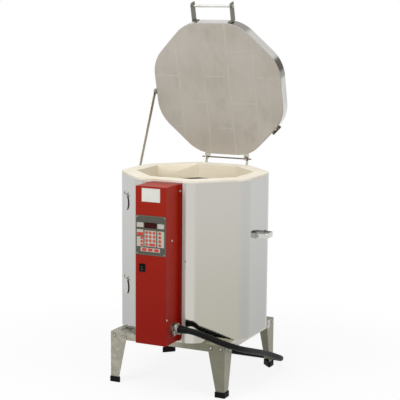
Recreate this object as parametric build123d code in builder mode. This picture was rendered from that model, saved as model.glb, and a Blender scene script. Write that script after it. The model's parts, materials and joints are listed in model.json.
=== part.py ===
from build123d import *
from math import cos, radians, sin, tan
import os

os.makedirs("parts", exist_ok=True)

# Kiln axis sits this far behind the row origin, which is under the middle of the outline
AXIS_Y = 20.0

# Stand
STAND_HALF = 253.5
STAND_TOP = 211.0
SHEET = 2.0
LEG_TOP_W = 70.0
LEG_FOOT_W = 33.5
LEG_FOOT_Z = 3.0
RAIL_H = 31.0
RAIL_FLANGE = 27.0
PLATE_LEG = 150.0
PLATE_SLOT = (34.0, 6.0)
SLOT_IN = 42.0
CAP_WALL = 2.5
CAP_H = 23.0
CAP_GAP = 0.3
CAP_ROOM = 4.6
STAND_SCREW_Z = 196.0
STAND_SCREW_IN = (17.0, 60.0)
SCREW_GAP = 0.15

# Body shell and firebrick
BODY_HALF = 284.0
BODY_CORNER = 86.0
JACKET_T = 0.8
JACKET_TOP = 844.0
LINING_GAP = 0.3
PAN_T = 1.5
BOARD_T = 4.5
SLAB_T = 63.5
COURSE_H = 114.3
COURSES = 5
WALL_T = 64.0
CHAMBER_HALF = BODY_HALF - WALL_T
MORTAR = 0.4
GROOVE = 14.0
ELEMENT_D = 11.0
ROW_SHARE = (0.12, 0.42)
SLAB_TOP = STAND_TOP + PAN_T + BOARD_T + SLAB_T
RIM_Z = SLAB_TOP + COURSES * COURSE_H

# Peepholes on the front left facet
PEEP_FACET = 225.0
PEEP_ALONG = -27.0
PEEP_Z = (733.0, 388.0)
PEEP_BORE_R = 13.0
PEEP_COVER_R = 32.0
PEEP_COVER_T = 1.6
PEEP_PIN_UP = 29.0
PEEP_PIN_OUT = 3.3
PEEP_PIN_R = 1.5
PEEP_BARREL_R = 3.0
PEEP_BARREL_MID = 14.0
PEEP_BARREL_GAP = 0.4
PEEP_TONGUE = 8.0
PEEP_COVER_GAP = 0.8
RUN_GAP = 0.05
PEEP_LEAF_W = 58.0
PEEP_LEAF_H = 15.0
PEEP_LEAF_T = 1.2
PEEP_SCREW_ALONG = 22.0
PEEP_SCREW_UP = 8.0
PEEP_SCREW_R = 1.6

# Side lifting handles
HANDLE_Z = 611.0
HANDLE_BACK = 20.0
HANDLE_H = 20.0
HANDLE_OUT = 42.0
HANDLE_T = 3.0
HANDLE_FOOT = 54.0
HANDLE_SCREW = 47.0
HANDLE_BEND = 40.0
HANDLE_GRIP = 34.0
HANDLE_R = 14.0

# Lid
LID_OVER = 5.0
LID_HALF = BODY_HALF + LID_OVER
LID_CORNER = 150.0
LID_T = 50.0
LID_SEAT_GAP = 0.3
LID_LIP = 2.0
BAND_T = 0.8
LID_COLUMN = 115.4
LID_BRICK_L = 228.6
LID_JOINT_A = 54.3
LID_JOINT_B = -60.0
LID_OPEN = 74.8
HINGE_OUT = 28.0
HINGE_Y = BODY_HALF + HINGE_OUT
HINGE_Z = 873.0
LID_Z = RIM_Z + LID_SEAT_GAP
LID_TOP = LID_Z + LID_T

# Hinge
HINGE_X = 95.0
HINGE_PLATE = 3.0
HINGE_ROD_R = 3.0
HINGE_ROD_END = 114.0
HINGE_PLATE_GAP = 1.5
HINGE_FOOT_Z = 786.0
HINGE_FOOT_W = 24.0
LID_STRAP_L = 90.0
LID_STRAP_T = 2.0
LID_STRAP_W = 20.0
HINGE_EYE_R = 11.0
HINGE_FOOT_OUT = 16.0
HINGE_FOOT_DROP = 34.0
HINGE_SCREW_END = 10.0
HINGE_SCREW_TOP = 12.0
WASHER_R = 9.0
WASHER_T = 2.0
WASHER_GAP = 0.3
FACE_SCREW_R = 2.0
FACE_SCREW_ROOM = 0.3

# Lid handle
GRIP_X = 88.0
GRIP_PLATE = 3.5
GRIP_WIDE = 38.0
GRIP_LOW = 12.0
GRIP_REACH = 78.0
GRIP_OUT = LID_HALF + GRIP_REACH
GRIP_ROD_R = 5.0
GRIP_ROD_IN = 15.4
GRIP_ROD_Y = GRIP_ROD_IN - GRIP_OUT
GRIP_FOOT = 16.0

# Prop arm
PROP_Y = 18.0
PROP_Z = 862.0
PROP_OUT = 11.0
PROP_IN = LID_HALF + PROP_OUT
PROP_T = 3.0
PROP_W = 20.0
PROP_REACH = 395.0
PROP_LEAN = 24.05
PROP_BOLT_R = 3.0
PROP_REST_R = 4.0
PROP_PIN_CUT = 0.6

# Control box
BOX_HALF = 65.8
BOX_GAP = 3.0
BOX_DEPTH = 102.0
BOX_BACK = BODY_HALF + BOX_GAP
BOX_FRONT = BOX_BACK + BOX_DEPTH
BOX_LOW = 219.4
BOX_HIGH = 837.5
BOX_SHEET = 1.5
FLANGE_W = 12.0
FLANGE_OUT = BOX_HALF + FLANGE_W
FLANGE_R = 6.0
BACK_IN = 1.5
STANDOFF_IN = 6.2
STANDOFF_SKIN = 0.5
STANDOFF_X = FLANGE_OUT - STANDOFF_IN
STANDOFF_Z = (246.0, 812.5)
STANDOFF_R = 6.0
TAIL_X = 20.0
TAIL_R = 2.5
INSULATOR_R = 7.0
THERMO_Z = 704.0
THERMO_R = 5.0
PANEL_HALF = 65.0
PANEL_Z = (571.5, 725.0)
PANEL_T = 1.2
PRINT_T = 0.3
DISPLAY_AT = (-0.8, 688.0)
DISPLAY_W = 52.0
DISPLAY_H = 21.0
DISPLAY_T = 0.8
PANEL_SCREW_IN = 6.0
PANEL_SCREW_R = 1.3
SWITCH_AT = (-37.0, 520.8)
SWITCH_W = 26.4
SWITCH_H = 31.0
ROCKER_REST = 8.0
LABEL = (-39.3, 39.1, 778.2, 830.4)
GLAND_IN = 58.0
GLAND_Z = 279.0
GLAND_R = 16.0
GLAND_NECK = 8.0
CLAMP_W = 46.0
CLAMP_FOOT = 20.0
GLAND_AT = (GLAND_IN - BOX_FRONT, GLAND_Z)
GLAND_OUT = 26.2
GLAND_END = BOX_HALF + GLAND_OUT
SIDE_SCREWS = ((49.0 - BOX_FRONT, 626.0), (7.5 - BOX_FRONT, 322.0))

# Power cord
CORD_R = 12.0
CORD_GRIP = 6.0
CORD_START = GLAND_END - CORD_GRIP
CORD_GAP = 0.3
PLUG_R = 31.0
PLUG_L = 58.0
PLUG_NECK_W = 40.0
PLUG_NECK_R = 8.0
PLUG_NECK_L = 14.0


def shut(height):
    """Horizontal plane centred on the kiln axis."""
    return Plane(origin=(0, AXIS_Y, height))


def wall(angle, distance):
    """Upright plane facing out at this angle, sketched as (along, height)."""
    nx, ny = cos(radians(angle)), sin(radians(angle))
    return Plane(origin=(nx * distance, AXIS_Y + ny * distance, 0), x_dir=(-ny, nx, 0), z_dir=(nx, ny, 0))


HINGE_SHIFT = Pos(0, AXIS_Y + HINGE_Y, HINGE_Z)
LID_TURN = HINGE_SHIFT * Rot(-LID_OPEN, 0, 0) * HINGE_SHIFT.inverse()


def opened(plane):
    """The same plane carried round the hinge to the open lid."""
    return Plane(LID_TURN * plane.location)


def open_point(y, z):
    """A point beside the shut lid, given back as (y, z) with the lid open."""
    turn = radians(LID_OPEN)
    dy, dz = y - HINGE_Y, z - HINGE_Z
    return (HINGE_Y + dy * cos(turn) + dz * sin(turn), HINGE_Z - dy * sin(turn) + dz * cos(turn))


def octagon(half, corner=0.0, mode=Mode.ADD):
    """Octagon with a flat to the front, its corners rounded."""
    if corner:
        with BuildSketch(Plane.XY, mode=Mode.PRIVATE) as shape:
            RegularPolygon(half, 8, major_radius=False, rotation=22.5)
            fillet(shape.vertices(), corner)
        add(shape.sketch, mode=mode)
    else:
        RegularPolygon(half, 8, major_radius=False, rotation=22.5, mode=mode)


def bar(low, high, mode=Mode.ADD):
    """Upright box between two corners, measured from the kiln axis."""
    size = [b - a for a, b in zip(low, high)]
    middle = [(a + b) / 2 for a, b in zip(low, high)]
    with Locations((middle[0], middle[1] + AXIS_Y, middle[2])):
        Box(*size, mode=mode)


def rod(plane, spot, radius, amount, mode=Mode.ADD):
    """Round bar standing on a plane."""
    with BuildSketch(plane) as face:
        with Locations(spot):
            Circle(radius)
    extrude(face.sketch, amount=amount, mode=mode)


def screws(plane, spots, head_r, head_h, shank_r, shank_l):
    """Domed screws: heads on the plane, shanks behind it."""
    with BuildSketch(plane) as heads:
        with Locations(*spots):
            Circle(head_r)
    extrude(heads.sketch, amount=head_h, taper=25)
    with BuildSketch(plane) as shanks:
        with Locations(*spots):
            Circle(shank_r)
    extrude(shanks.sketch, amount=-shank_l)


# Stand legs, tapered angles with their corner outward
stand_screw_walls = [(angle, (sign * (STAND_HALF - inset), STAND_SCREW_Z))
                     for angle in (0, 90, 180, 270) for sign in (-1, 1) for inset in STAND_SCREW_IN]
SCREW_R = 2.5

with BuildPart() as stand_legs:
    for angle in (0, 90, 180, 270):
        for sign in (-1, 1):
            with BuildSketch(wall(angle, STAND_HALF)):
                Polygon((sign * STAND_HALF, LEG_FOOT_Z), (sign * STAND_HALF, STAND_TOP),
                        (sign * (STAND_HALF - LEG_TOP_W), STAND_TOP),
                        (sign * (STAND_HALF - LEG_TOP_W), STAND_TOP - RAIL_H),
                        (sign * (STAND_HALF - LEG_FOOT_W), LEG_FOOT_Z), align=None)
            extrude(amount=-SHEET)
    for angle, spot in stand_screw_walls:
        rod(wall(angle, STAND_HALF), spot, SCREW_R + SCREW_GAP, -SHEET, Mode.SUBTRACT)
stand_legs.part.label = "stand_legs"
export_step(stand_legs.part, "parts/stand_legs.step")

# Stand rails, angles lying inside the legs and carrying the floor pan
RAIL_OUT = STAND_HALF - SHEET
with BuildPart() as stand_rails:
    for sign in (-1, 1):
        low, high = sorted((sign * RAIL_OUT, sign * (RAIL_OUT - SHEET)))
        flow, fhigh = sorted((sign * RAIL_OUT, sign * (RAIL_OUT - RAIL_FLANGE)))
        bar((-RAIL_OUT, low, STAND_TOP - RAIL_H), (RAIL_OUT, high, STAND_TOP))
        bar((-RAIL_OUT, flow, STAND_TOP - SHEET), (RAIL_OUT, fhigh, STAND_TOP))
        reach = RAIL_OUT - SHEET
        inner = RAIL_OUT - RAIL_FLANGE
        bar((low, -reach + MORTAR, STAND_TOP - RAIL_H), (high, reach - MORTAR, STAND_TOP - SHEET - MORTAR))
        bar((low, -inner + MORTAR, STAND_TOP - RAIL_H), (high, inner - MORTAR, STAND_TOP))
        bar((flow, -inner + MORTAR, STAND_TOP - SHEET), (fhigh, inner - MORTAR, STAND_TOP))
    for angle, spot in stand_screw_walls:
        rod(wall(angle, RAIL_OUT), spot, SCREW_R + SCREW_GAP, -SHEET, Mode.SUBTRACT)
stand_rails.part.label = "stand_rails"
export_step(stand_rails.part, "parts/stand_rails.step")

# Corner gussets under the rails
GUSSET_TOP = STAND_TOP - SHEET
GUSSET_OUT = RAIL_OUT - SHEET - 0.3
with BuildPart() as corner_gussets:
    for sx in (-1, 1):
        for sy in (-1, 1):
            with BuildSketch(shut(GUSSET_TOP - SHEET)):
                Polygon((sx * GUSSET_OUT, sy * GUSSET_OUT), (sx * (GUSSET_OUT - PLATE_LEG), sy * GUSSET_OUT),
                        (sx * GUSSET_OUT, sy * (GUSSET_OUT - PLATE_LEG)), align=None)
                with Locations((sx * (GUSSET_OUT - SLOT_IN), sy * (GUSSET_OUT - SLOT_IN))):
                    SlotOverall(PLATE_SLOT[0], PLATE_SLOT[1], rotation=-45 * sx * sy, mode=Mode.SUBTRACT)
            extrude(amount=SHEET)
corner_gussets.part.label = "corner_gussets"
export_step(corner_gussets.part, "parts/corner_gussets.step")

# Rubber foot caps pushed over the leg ends
CAP_OUT = STAND_HALF + CAP_GAP + CAP_WALL
CAP_ARM = LEG_FOOT_W + 2 * CAP_WALL + CAP_ROOM
POCKET_ARM = LEG_FOOT_W + CAP_ROOM
with BuildPart() as foot_caps:
    for sx in (-1, 1):
        for sy in (-1, 1):
            with BuildSketch(shut(0)):
                far = CAP_OUT - CAP_ARM
                skin = CAP_OUT - SHEET - 2 * CAP_GAP - 2 * CAP_WALL
                Polygon((sx * CAP_OUT, sy * CAP_OUT), (sx * far, sy * CAP_OUT), (sx * far, sy * skin),
                        (sx * skin, sy * far), (sx * CAP_OUT, sy * far), align=None)
            extrude(amount=CAP_H)
            with BuildSketch(shut(LEG_FOOT_Z)):
                edge = STAND_HALF + CAP_GAP
                end = edge - POCKET_ARM
                back = STAND_HALF - SHEET - CAP_GAP
                Polygon((sx * edge, sy * edge), (sx * end, sy * edge), (sx * end, sy * back),
                        (sx * back, sy * back), (sx * back, sy * end), (sx * edge, sy * end), align=None)
            extrude(amount=CAP_H, mode=Mode.SUBTRACT)
foot_caps.part.label = "foot_caps"
export_step(foot_caps.part, "parts/foot_caps.step")

# Stand screws through leg and rail
with BuildPart() as stand_screws:
    for angle in (0, 90, 180, 270):
        spots = [spot for at, spot in stand_screw_walls if at == angle]
        screws(wall(angle, STAND_HALF), spots, 5.0, 2.6, SCREW_R, 2 * SHEET + 4.0)
stand_screws.part.label = "stand_screws"
export_step(stand_screws.part, "parts/stand_screws.step")

# Floor pan, backing board and floor slab inside the jacket
LINING_HALF = BODY_HALF - JACKET_T - LINING_GAP
LINING_CORNER = BODY_CORNER - JACKET_T - LINING_GAP


def lining_sheet(height, thick):
    """Full width layer inside the jacket."""
    with BuildSketch(shut(height)) as sheet:
        octagon(LINING_HALF, LINING_CORNER)
    extrude(sheet.sketch, amount=thick)


with BuildPart() as floor_pan:
    lining_sheet(STAND_TOP, PAN_T)
floor_pan.part.label = "floor_pan"
export_step(floor_pan.part, "parts/floor_pan.step")

with BuildPart() as floor_board:
    lining_sheet(STAND_TOP + PAN_T, BOARD_T)
floor_board.part.label = "floor_board"
export_step(floor_board.part, "parts/floor_board.step")

with BuildPart() as floor_slab:
    lining_sheet(STAND_TOP + PAN_T + BOARD_T, SLAB_T)
floor_slab.part.label = "floor_slab"
export_step(floor_slab.part, "parts/floor_slab.step")

# Element rows, two in every course, tails alternating either side of the middle
rows = [SLAB_TOP + COURSE_H * (course + share) for course in range(COURSES) for share in ROW_SHARE]
tails = [((-1) ** n * TAIL_X, z) for n, z in enumerate(rows)]

# Wall courses of mitred bricks with two grooves each
GROOVE_HALF = CHAMBER_HALF + GROOVE


def wall_course(number):
    """One ring of eight bricks, counted from the floor."""
    low = SLAB_TOP + number * COURSE_H
    with BuildSketch(shut(low)) as ring:
        octagon(LINING_HALF, LINING_CORNER)
        octagon(CHAMBER_HALF, mode=Mode.SUBTRACT)
    extrude(ring.sketch, amount=COURSE_H)
    for share in ROW_SHARE:
        with BuildSketch(shut(low + COURSE_H * share - GROOVE / 2)) as groove:
            octagon(GROOVE_HALF)
            octagon(CHAMBER_HALF - 5, mode=Mode.SUBTRACT)
        extrude(groove.sketch, amount=GROOVE, mode=Mode.SUBTRACT)
    for turn in range(4):
        with Locations(Pos(0, AXIS_Y, low + COURSE_H / 2) * Rot(0, 0, 22.5 + 45 * turn)):
            Box(4 * BODY_HALF, MORTAR, 2 * COURSE_H, mode=Mode.SUBTRACT)
    for z in PEEP_Z:
        if low - PEEP_BORE_R < z < low + COURSE_H + PEEP_BORE_R:
            rod(wall(PEEP_FACET, BODY_HALF), (PEEP_ALONG, z), PEEP_BORE_R, -90, Mode.SUBTRACT)
    for x, z in tails:
        if low < z < low + COURSE_H:
            rod(wall(270, BODY_HALF), (x, z), INSULATOR_R + LINING_GAP, -90, Mode.SUBTRACT)
    if low < THERMO_Z < low + COURSE_H:
        rod(wall(270, BODY_HALF), (0, THERMO_Z), THERMO_R + LINING_GAP, -90, Mode.SUBTRACT)


with BuildPart() as wall_course_1:
    wall_course(0)
wall_course_1.part.label = "wall_course_1"
export_step(wall_course_1.part, "parts/wall_course_1.step")

with BuildPart() as wall_course_2:
    wall_course(1)
wall_course_2.part.label = "wall_course_2"
export_step(wall_course_2.part, "parts/wall_course_2.step")

with BuildPart() as wall_course_3:
    wall_course(2)
wall_course_3.part.label = "wall_course_3"
export_step(wall_course_3.part, "parts/wall_course_3.step")

with BuildPart() as wall_course_4:
    wall_course(3)
wall_course_4.part.label = "wall_course_4"
export_step(wall_course_4.part, "parts/wall_course_4.step")

with BuildPart() as wall_course_5:
    wall_course(4)
wall_course_5.part.label = "wall_course_5"
export_step(wall_course_5.part, "parts/wall_course_5.step")

# Stainless jacket, bored for peepholes, tails and probe
with BuildPart() as jacket:
    with BuildSketch(shut(STAND_TOP)):
        octagon(BODY_HALF, BODY_CORNER)
        octagon(BODY_HALF - JACKET_T, BODY_CORNER - JACKET_T, mode=Mode.SUBTRACT)
    extrude(amount=JACKET_TOP - STAND_TOP)
    for z in PEEP_Z:
        rod(wall(PEEP_FACET, BODY_HALF + 2), (PEEP_ALONG, z), PEEP_BORE_R, -6, Mode.SUBTRACT)
    for x, z in tails:
        rod(wall(270, BODY_HALF + 2), (x, z), INSULATOR_R + 1, -6, Mode.SUBTRACT)
    rod(wall(270, BODY_HALF + 2), (0, THERMO_Z), THERMO_R + 1, -6, Mode.SUBTRACT)
jacket.part.label = "jacket"
export_step(jacket.part, "parts/jacket.step")

# Heating elements, one loop to a groove
ELEMENT_HALF = GROOVE_HALF - 1.5 - ELEMENT_D / 2
with BuildPart() as heating_elements:
    for z in rows:
        corner_r = ELEMENT_HALF / cos(radians(22.5))
        corners = [(corner_r * cos(radians(22.5 + 45 * k)), AXIS_Y + corner_r * sin(radians(22.5 + 45 * k)), z)
                   for k in range(8)]
        with BuildLine() as loop:
            FilletPolyline(*corners, radius=25, close=True)
        with BuildSketch(Plane(origin=loop.line @ 0, z_dir=loop.line % 0)):
            Circle(ELEMENT_D / 2)
        sweep(path=loop.line)
heating_elements.part.label = "heating_elements"
export_step(heating_elements.part, "parts/heating_elements.step")

# Porcelain tubes carrying the element tails through the wall
INSULATOR_IN = GROOVE_HALF + 1.0
INSULATOR_OUT = BOX_BACK + 8.0
with BuildPart() as tail_insulators:
    for x, z in tails:
        rod(wall(270, INSULATOR_IN), (x, z), INSULATOR_R, INSULATOR_OUT - INSULATOR_IN)
        rod(wall(270, INSULATOR_IN), (x, z), TAIL_R + 0.3, INSULATOR_OUT - INSULATOR_IN, Mode.SUBTRACT)
tail_insulators.part.label = "tail_insulators"
export_step(tail_insulators.part, "parts/tail_insulators.step")

# Element tails ending in threaded connectors
TAIL_IN = ELEMENT_HALF + ELEMENT_D / 2 + 0.3
with BuildPart() as element_tails:
    for x, z in tails:
        rod(wall(270, TAIL_IN), (x, z), TAIL_R, INSULATOR_OUT + 12 - TAIL_IN)
        rod(wall(270, INSULATOR_OUT + 1), (x, z), TAIL_R + 2.5, 7)
element_tails.part.label = "element_tails"
export_step(element_tails.part, "parts/element_tails.step")

# Thermocouple probe and its ceramic block
with BuildPart() as thermocouple:
    rod(wall(270, CHAMBER_HALF - 35), (0, THERMO_Z), THERMO_R, BOX_BACK + 6 - CHAMBER_HALF + 35)
thermocouple.part.label = "thermocouple"
export_step(thermocouple.part, "parts/thermocouple.step")

with BuildPart() as thermocouple_block:
    with BuildSketch(wall(270, BOX_BACK + 6)):
        with Locations((0, THERMO_Z)):
            RectangleRounded(24, 18, 3)
    extrude(amount=14)
thermocouple_block.part.label = "thermocouple_block"
export_step(thermocouple_block.part, "parts/thermocouple_block.step")

# Peephole leaves, screwed to the jacket and carrying the two outer barrels
PIN_DIST = BODY_HALF + PEEP_PIN_OUT
BARREL_END = PEEP_LEAF_W / 2


def barrel(centre_z, low, high, radius, mode=Mode.ADD):
    """Barrel round the flap pin between two distances along the facet."""
    facet = wall(PEEP_FACET, PIN_DIST)
    start = facet.from_local_coords((PEEP_ALONG + low, centre_z, 0))
    with BuildSketch(Plane(origin=start, x_dir=(0, 0, 1), z_dir=facet.x_dir)) as ring:
        Circle(radius)
    extrude(ring.sketch, amount=high - low, mode=mode)


with BuildPart() as peephole_leaves:
    for z in PEEP_Z:
        pin_z = z + PEEP_PIN_UP
        with BuildSketch(wall(PEEP_FACET, BODY_HALF)):
            with Locations((PEEP_ALONG, pin_z + PEEP_LEAF_H / 2)):
                Rectangle(PEEP_LEAF_W, PEEP_LEAF_H)
            with Locations((PEEP_ALONG - PEEP_SCREW_ALONG, pin_z + PEEP_SCREW_UP),
                           (PEEP_ALONG + PEEP_SCREW_ALONG, pin_z + PEEP_SCREW_UP)):
                Circle(PEEP_SCREW_R + FACE_SCREW_ROOM, mode=Mode.SUBTRACT)
        extrude(amount=PEEP_LEAF_T)
        clear = PEEP_BARREL_MID + PEEP_BARREL_GAP
        for low, high in ((-BARREL_END, -clear), (clear, BARREL_END)):
            barrel(pin_z, low, high, PEEP_BARREL_R)
            barrel(pin_z, low, high, PEEP_PIN_R + RUN_GAP, Mode.SUBTRACT)
        with BuildSketch(wall(PEEP_FACET, BODY_HALF)):
            with Locations((PEEP_ALONG, pin_z)):
                Rectangle(2 * clear, 2 * (PEEP_BARREL_R + PEEP_COVER_GAP))
        extrude(amount=PEEP_LEAF_T, mode=Mode.SUBTRACT)
peephole_leaves.part.label = "peephole_leaves"
export_step(peephole_leaves.part, "parts/peephole_leaves.step")

with BuildPart() as peephole_pins:
    for z in PEEP_Z:
        barrel(z + PEEP_PIN_UP, -BARREL_END - PEEP_COVER_GAP, BARREL_END + PEEP_COVER_GAP, PEEP_PIN_R)
peephole_pins.part.label = "peephole_pins"
export_step(peephole_pins.part, "parts/peephole_pins.step")


def peephole_cover(z):
    """Round flap hanging from its barrel."""
    pin_z = z + PEEP_PIN_UP
    with BuildSketch(wall(PEEP_FACET, PIN_DIST - PEEP_COVER_T / 2)) as disc:
        with Locations((PEEP_ALONG, z)):
            Circle(PEEP_COVER_R)
        with Locations((PEEP_ALONG, pin_z - PEEP_BARREL_R - PEEP_COVER_GAP + PEEP_COVER_R)):
            Rectangle(2 * PEEP_COVER_R, 2 * PEEP_COVER_R, mode=Mode.SUBTRACT)
        with Locations((PEEP_ALONG, pin_z - PEEP_TONGUE / 2)):
            Rectangle(2 * PEEP_BARREL_MID, PEEP_TONGUE)
    extrude(disc.sketch, amount=PEEP_COVER_T)
    barrel(pin_z, -PEEP_BARREL_MID, PEEP_BARREL_MID, PEEP_BARREL_R)
    barrel(pin_z, -PEEP_BARREL_MID, PEEP_BARREL_MID, PEEP_PIN_R + RUN_GAP, Mode.SUBTRACT)


with BuildPart() as peephole_cover_upper:
    peephole_cover(PEEP_Z[0])
peephole_cover_upper.part.label = "peephole_cover_upper"
export_step(peephole_cover_upper.part, "parts/peephole_cover_upper.step")

with BuildPart() as peephole_cover_lower:
    peephole_cover(PEEP_Z[1])
peephole_cover_lower.part.label = "peephole_cover_lower"
export_step(peephole_cover_lower.part, "parts/peephole_cover_lower.step")

with BuildPart() as peephole_screws:
    for z in PEEP_Z:
        spots = [(PEEP_ALONG + sign * PEEP_SCREW_ALONG, z + PEEP_PIN_UP + PEEP_SCREW_UP) for sign in (-1, 1)]
        screws(wall(PEEP_FACET, BODY_HALF + PEEP_LEAF_T), spots, 3.4, 1.8, PEEP_SCREW_R, PEEP_LEAF_T)
peephole_screws.part.label = "peephole_screws"
export_step(peephole_screws.part, "parts/peephole_screws.step")


# Bowed lifting handles on the left and right faces
def side_handle(side):
    """Bent strap with two feet on the jacket; side is 1 for right and -1 for left."""
    face, out = BODY_HALF, BODY_HALF + HANDLE_OUT
    outer = [(face + HANDLE_T, -HANDLE_BEND), (out, -HANDLE_GRIP), (out, HANDLE_GRIP), (face + HANDLE_T, HANDLE_BEND)]
    inner = [(face, HANDLE_BEND - HANDLE_T), (out - HANDLE_T, HANDLE_GRIP - HANDLE_T),
             (out - HANDLE_T, HANDLE_T - HANDLE_GRIP), (face, HANDLE_T - HANDLE_BEND)]
    points = [(face, -HANDLE_FOOT), (face + HANDLE_T, -HANDLE_FOOT), *outer,
              (face + HANDLE_T, HANDLE_FOOT), (face, HANDLE_FOOT), *inner]
    with BuildSketch(shut(HANDLE_Z - HANDLE_H / 2)) as strap:
        Polygon(*[(side * x, y) for x, y in points], align=None)
        ends = [v for v in strap.vertices() if abs(v.X) > out - 0.1]
        fillet(ends, HANDLE_R)
        insides = [v for v in strap.vertices()
                   if abs(abs(v.X) - (out - HANDLE_T)) < 0.1 and abs(abs(v.Y) - HANDLE_GRIP + HANDLE_T) < 0.1]
        fillet(insides, HANDLE_R - HANDLE_T)
    extrude(Pos(0, HANDLE_BACK, 0) * strap.sketch, amount=HANDLE_H)
    for sign in (-1, 1):
        spot = (side * HANDLE_BACK + sign * HANDLE_SCREW, HANDLE_Z)
        rod(wall(0 if side > 0 else 180, BODY_HALF), spot, FACE_SCREW_R + FACE_SCREW_ROOM, HANDLE_T, Mode.SUBTRACT)


with BuildPart() as side_handle_right:
    side_handle(1)
side_handle_right.part.label = "side_handle_right"
export_step(side_handle_right.part, "parts/side_handle_right.step")

with BuildPart() as side_handle_left:
    side_handle(-1)
side_handle_left.part.label = "side_handle_left"
export_step(side_handle_left.part, "parts/side_handle_left.step")

# Lid slab of cemented bricks, five columns with staggered joints
BAND_IN = LID_HALF - BAND_T
with BuildPart() as lid_bricks:
    with BuildSketch(opened(shut(LID_Z))):
        octagon(BAND_IN - LINING_GAP, LID_CORNER - BAND_T - LINING_GAP)
        for x in (-1.5 * LID_COLUMN, -0.5 * LID_COLUMN, 0.5 * LID_COLUMN, 1.5 * LID_COLUMN):
            with Locations((x, 0)):
                Rectangle(MORTAR, 3 * LID_HALF, mode=Mode.SUBTRACT)
        for column in range(-2, 3):
            first = LID_JOINT_A if column % 2 else LID_JOINT_B
            for y in (first, first + (-LID_BRICK_L if column % 2 else LID_BRICK_L)):
                with Locations((column * LID_COLUMN, y)):
                    Rectangle(LID_COLUMN, MORTAR, mode=Mode.SUBTRACT)
    extrude(amount=LID_T)
lid_bricks.part.label = "lid_bricks"
export_step(lid_bricks.part, "parts/lid_bricks.step")

with BuildPart() as lid_band:
    with BuildSketch(opened(shut(LID_Z + LID_LIP))):
        octagon(LID_HALF, LID_CORNER)
        octagon(BAND_IN, LID_CORNER - BAND_T, mode=Mode.SUBTRACT)
    extrude(amount=LID_T - LID_LIP)
lid_band.part.label = "lid_band"
export_step(lid_band.part, "parts/lid_band.step")

# Screw clamp that draws the band tight
BAND_MID = (LID_Z + LID_LIP + LID_TOP) / 2
CLAMP_ALONG = -46.0
CLAMP_BLOCK = (22.0, 15.0, 9.0)
with BuildPart() as band_clamp:
    for start in (CLAMP_ALONG - 20, CLAMP_ALONG + 10):
        with BuildSketch(opened(wall(45, LID_HALF))):
            with Locations((start + 5, BAND_MID)):
                RectangleRounded(10, 22, 2)
        extrude(amount=11)
    with BuildSketch(opened(wall(45, LID_HALF + 2))):
        with Locations((CLAMP_ALONG, BAND_MID)):
            Rectangle(CLAMP_BLOCK[0], CLAMP_BLOCK[1])
    extrude(amount=CLAMP_BLOCK[2])
    clamp_face = opened(wall(45, LID_HALF + 6))
    clamp_end = clamp_face.from_local_coords((CLAMP_ALONG - 26, BAND_MID, 0))
    with BuildSketch(Plane(origin=clamp_end, x_dir=clamp_face.z_dir, z_dir=clamp_face.x_dir)):
        Circle(2.5)
    extrude(amount=52)
    with BuildSketch(Plane(origin=clamp_end, x_dir=clamp_face.z_dir, z_dir=clamp_face.x_dir)):
        RegularPolygon(4.5, 6)
    extrude(amount=6)
band_clamp.part.label = "band_clamp"
export_step(band_clamp.part, "parts/band_clamp.step")

# Hinge: angle brackets on the body, straps on the lid, one rod through all four
BRACKET_OUT = HINGE_X + HINGE_PLATE / 2
HINGE_FOOT_TOP = HINGE_Z - HINGE_FOOT_DROP
hinge_screw_spots = [(sign * (HINGE_X - HINGE_FOOT_W / 2), z) for sign in (-1, 1)
                     for z in (HINGE_FOOT_Z + HINGE_SCREW_END, HINGE_FOOT_TOP - HINGE_SCREW_TOP)]
with BuildPart() as hinge_body_brackets:
    for sign in (-1, 1):
        a, b = sorted((sign * (HINGE_X - HINGE_PLATE / 2), sign * BRACKET_OUT))
        with BuildSketch(Plane(origin=(a, AXIS_Y, 0), x_dir=(0, 1, 0), z_dir=(1, 0, 0))):
            Polygon((BODY_HALF, HINGE_FOOT_Z), (BODY_HALF + HINGE_FOOT_OUT, HINGE_FOOT_Z),
                    (HINGE_Y + HINGE_EYE_R, HINGE_Z - HINGE_FOOT_OUT), (HINGE_Y + HINGE_EYE_R, HINGE_Z),
                    (HINGE_Y - HINGE_EYE_R, HINGE_Z), (BODY_HALF, HINGE_FOOT_TOP), align=None)
            with Locations((HINGE_Y, HINGE_Z)):
                Circle(HINGE_EYE_R)
            with Locations((HINGE_Y, HINGE_Z)):
                Circle(HINGE_ROD_R + RUN_GAP, mode=Mode.SUBTRACT)
        extrude(amount=HINGE_PLATE)
        c, d = sorted((sign * (HINGE_X - HINGE_PLATE / 2), sign * (HINGE_X - HINGE_FOOT_W)))
        bar((c, BODY_HALF, HINGE_FOOT_Z), (d, BODY_HALF + HINGE_PLATE, HINGE_FOOT_TOP))
    for spot in hinge_screw_spots:
        rod(wall(90, BODY_HALF), spot, FACE_SCREW_R + FACE_SCREW_ROOM, HINGE_PLATE, Mode.SUBTRACT)
hinge_body_brackets.part.label = "hinge_body_brackets"
export_step(hinge_body_brackets.part, "parts/hinge_body_brackets.step")

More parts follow.
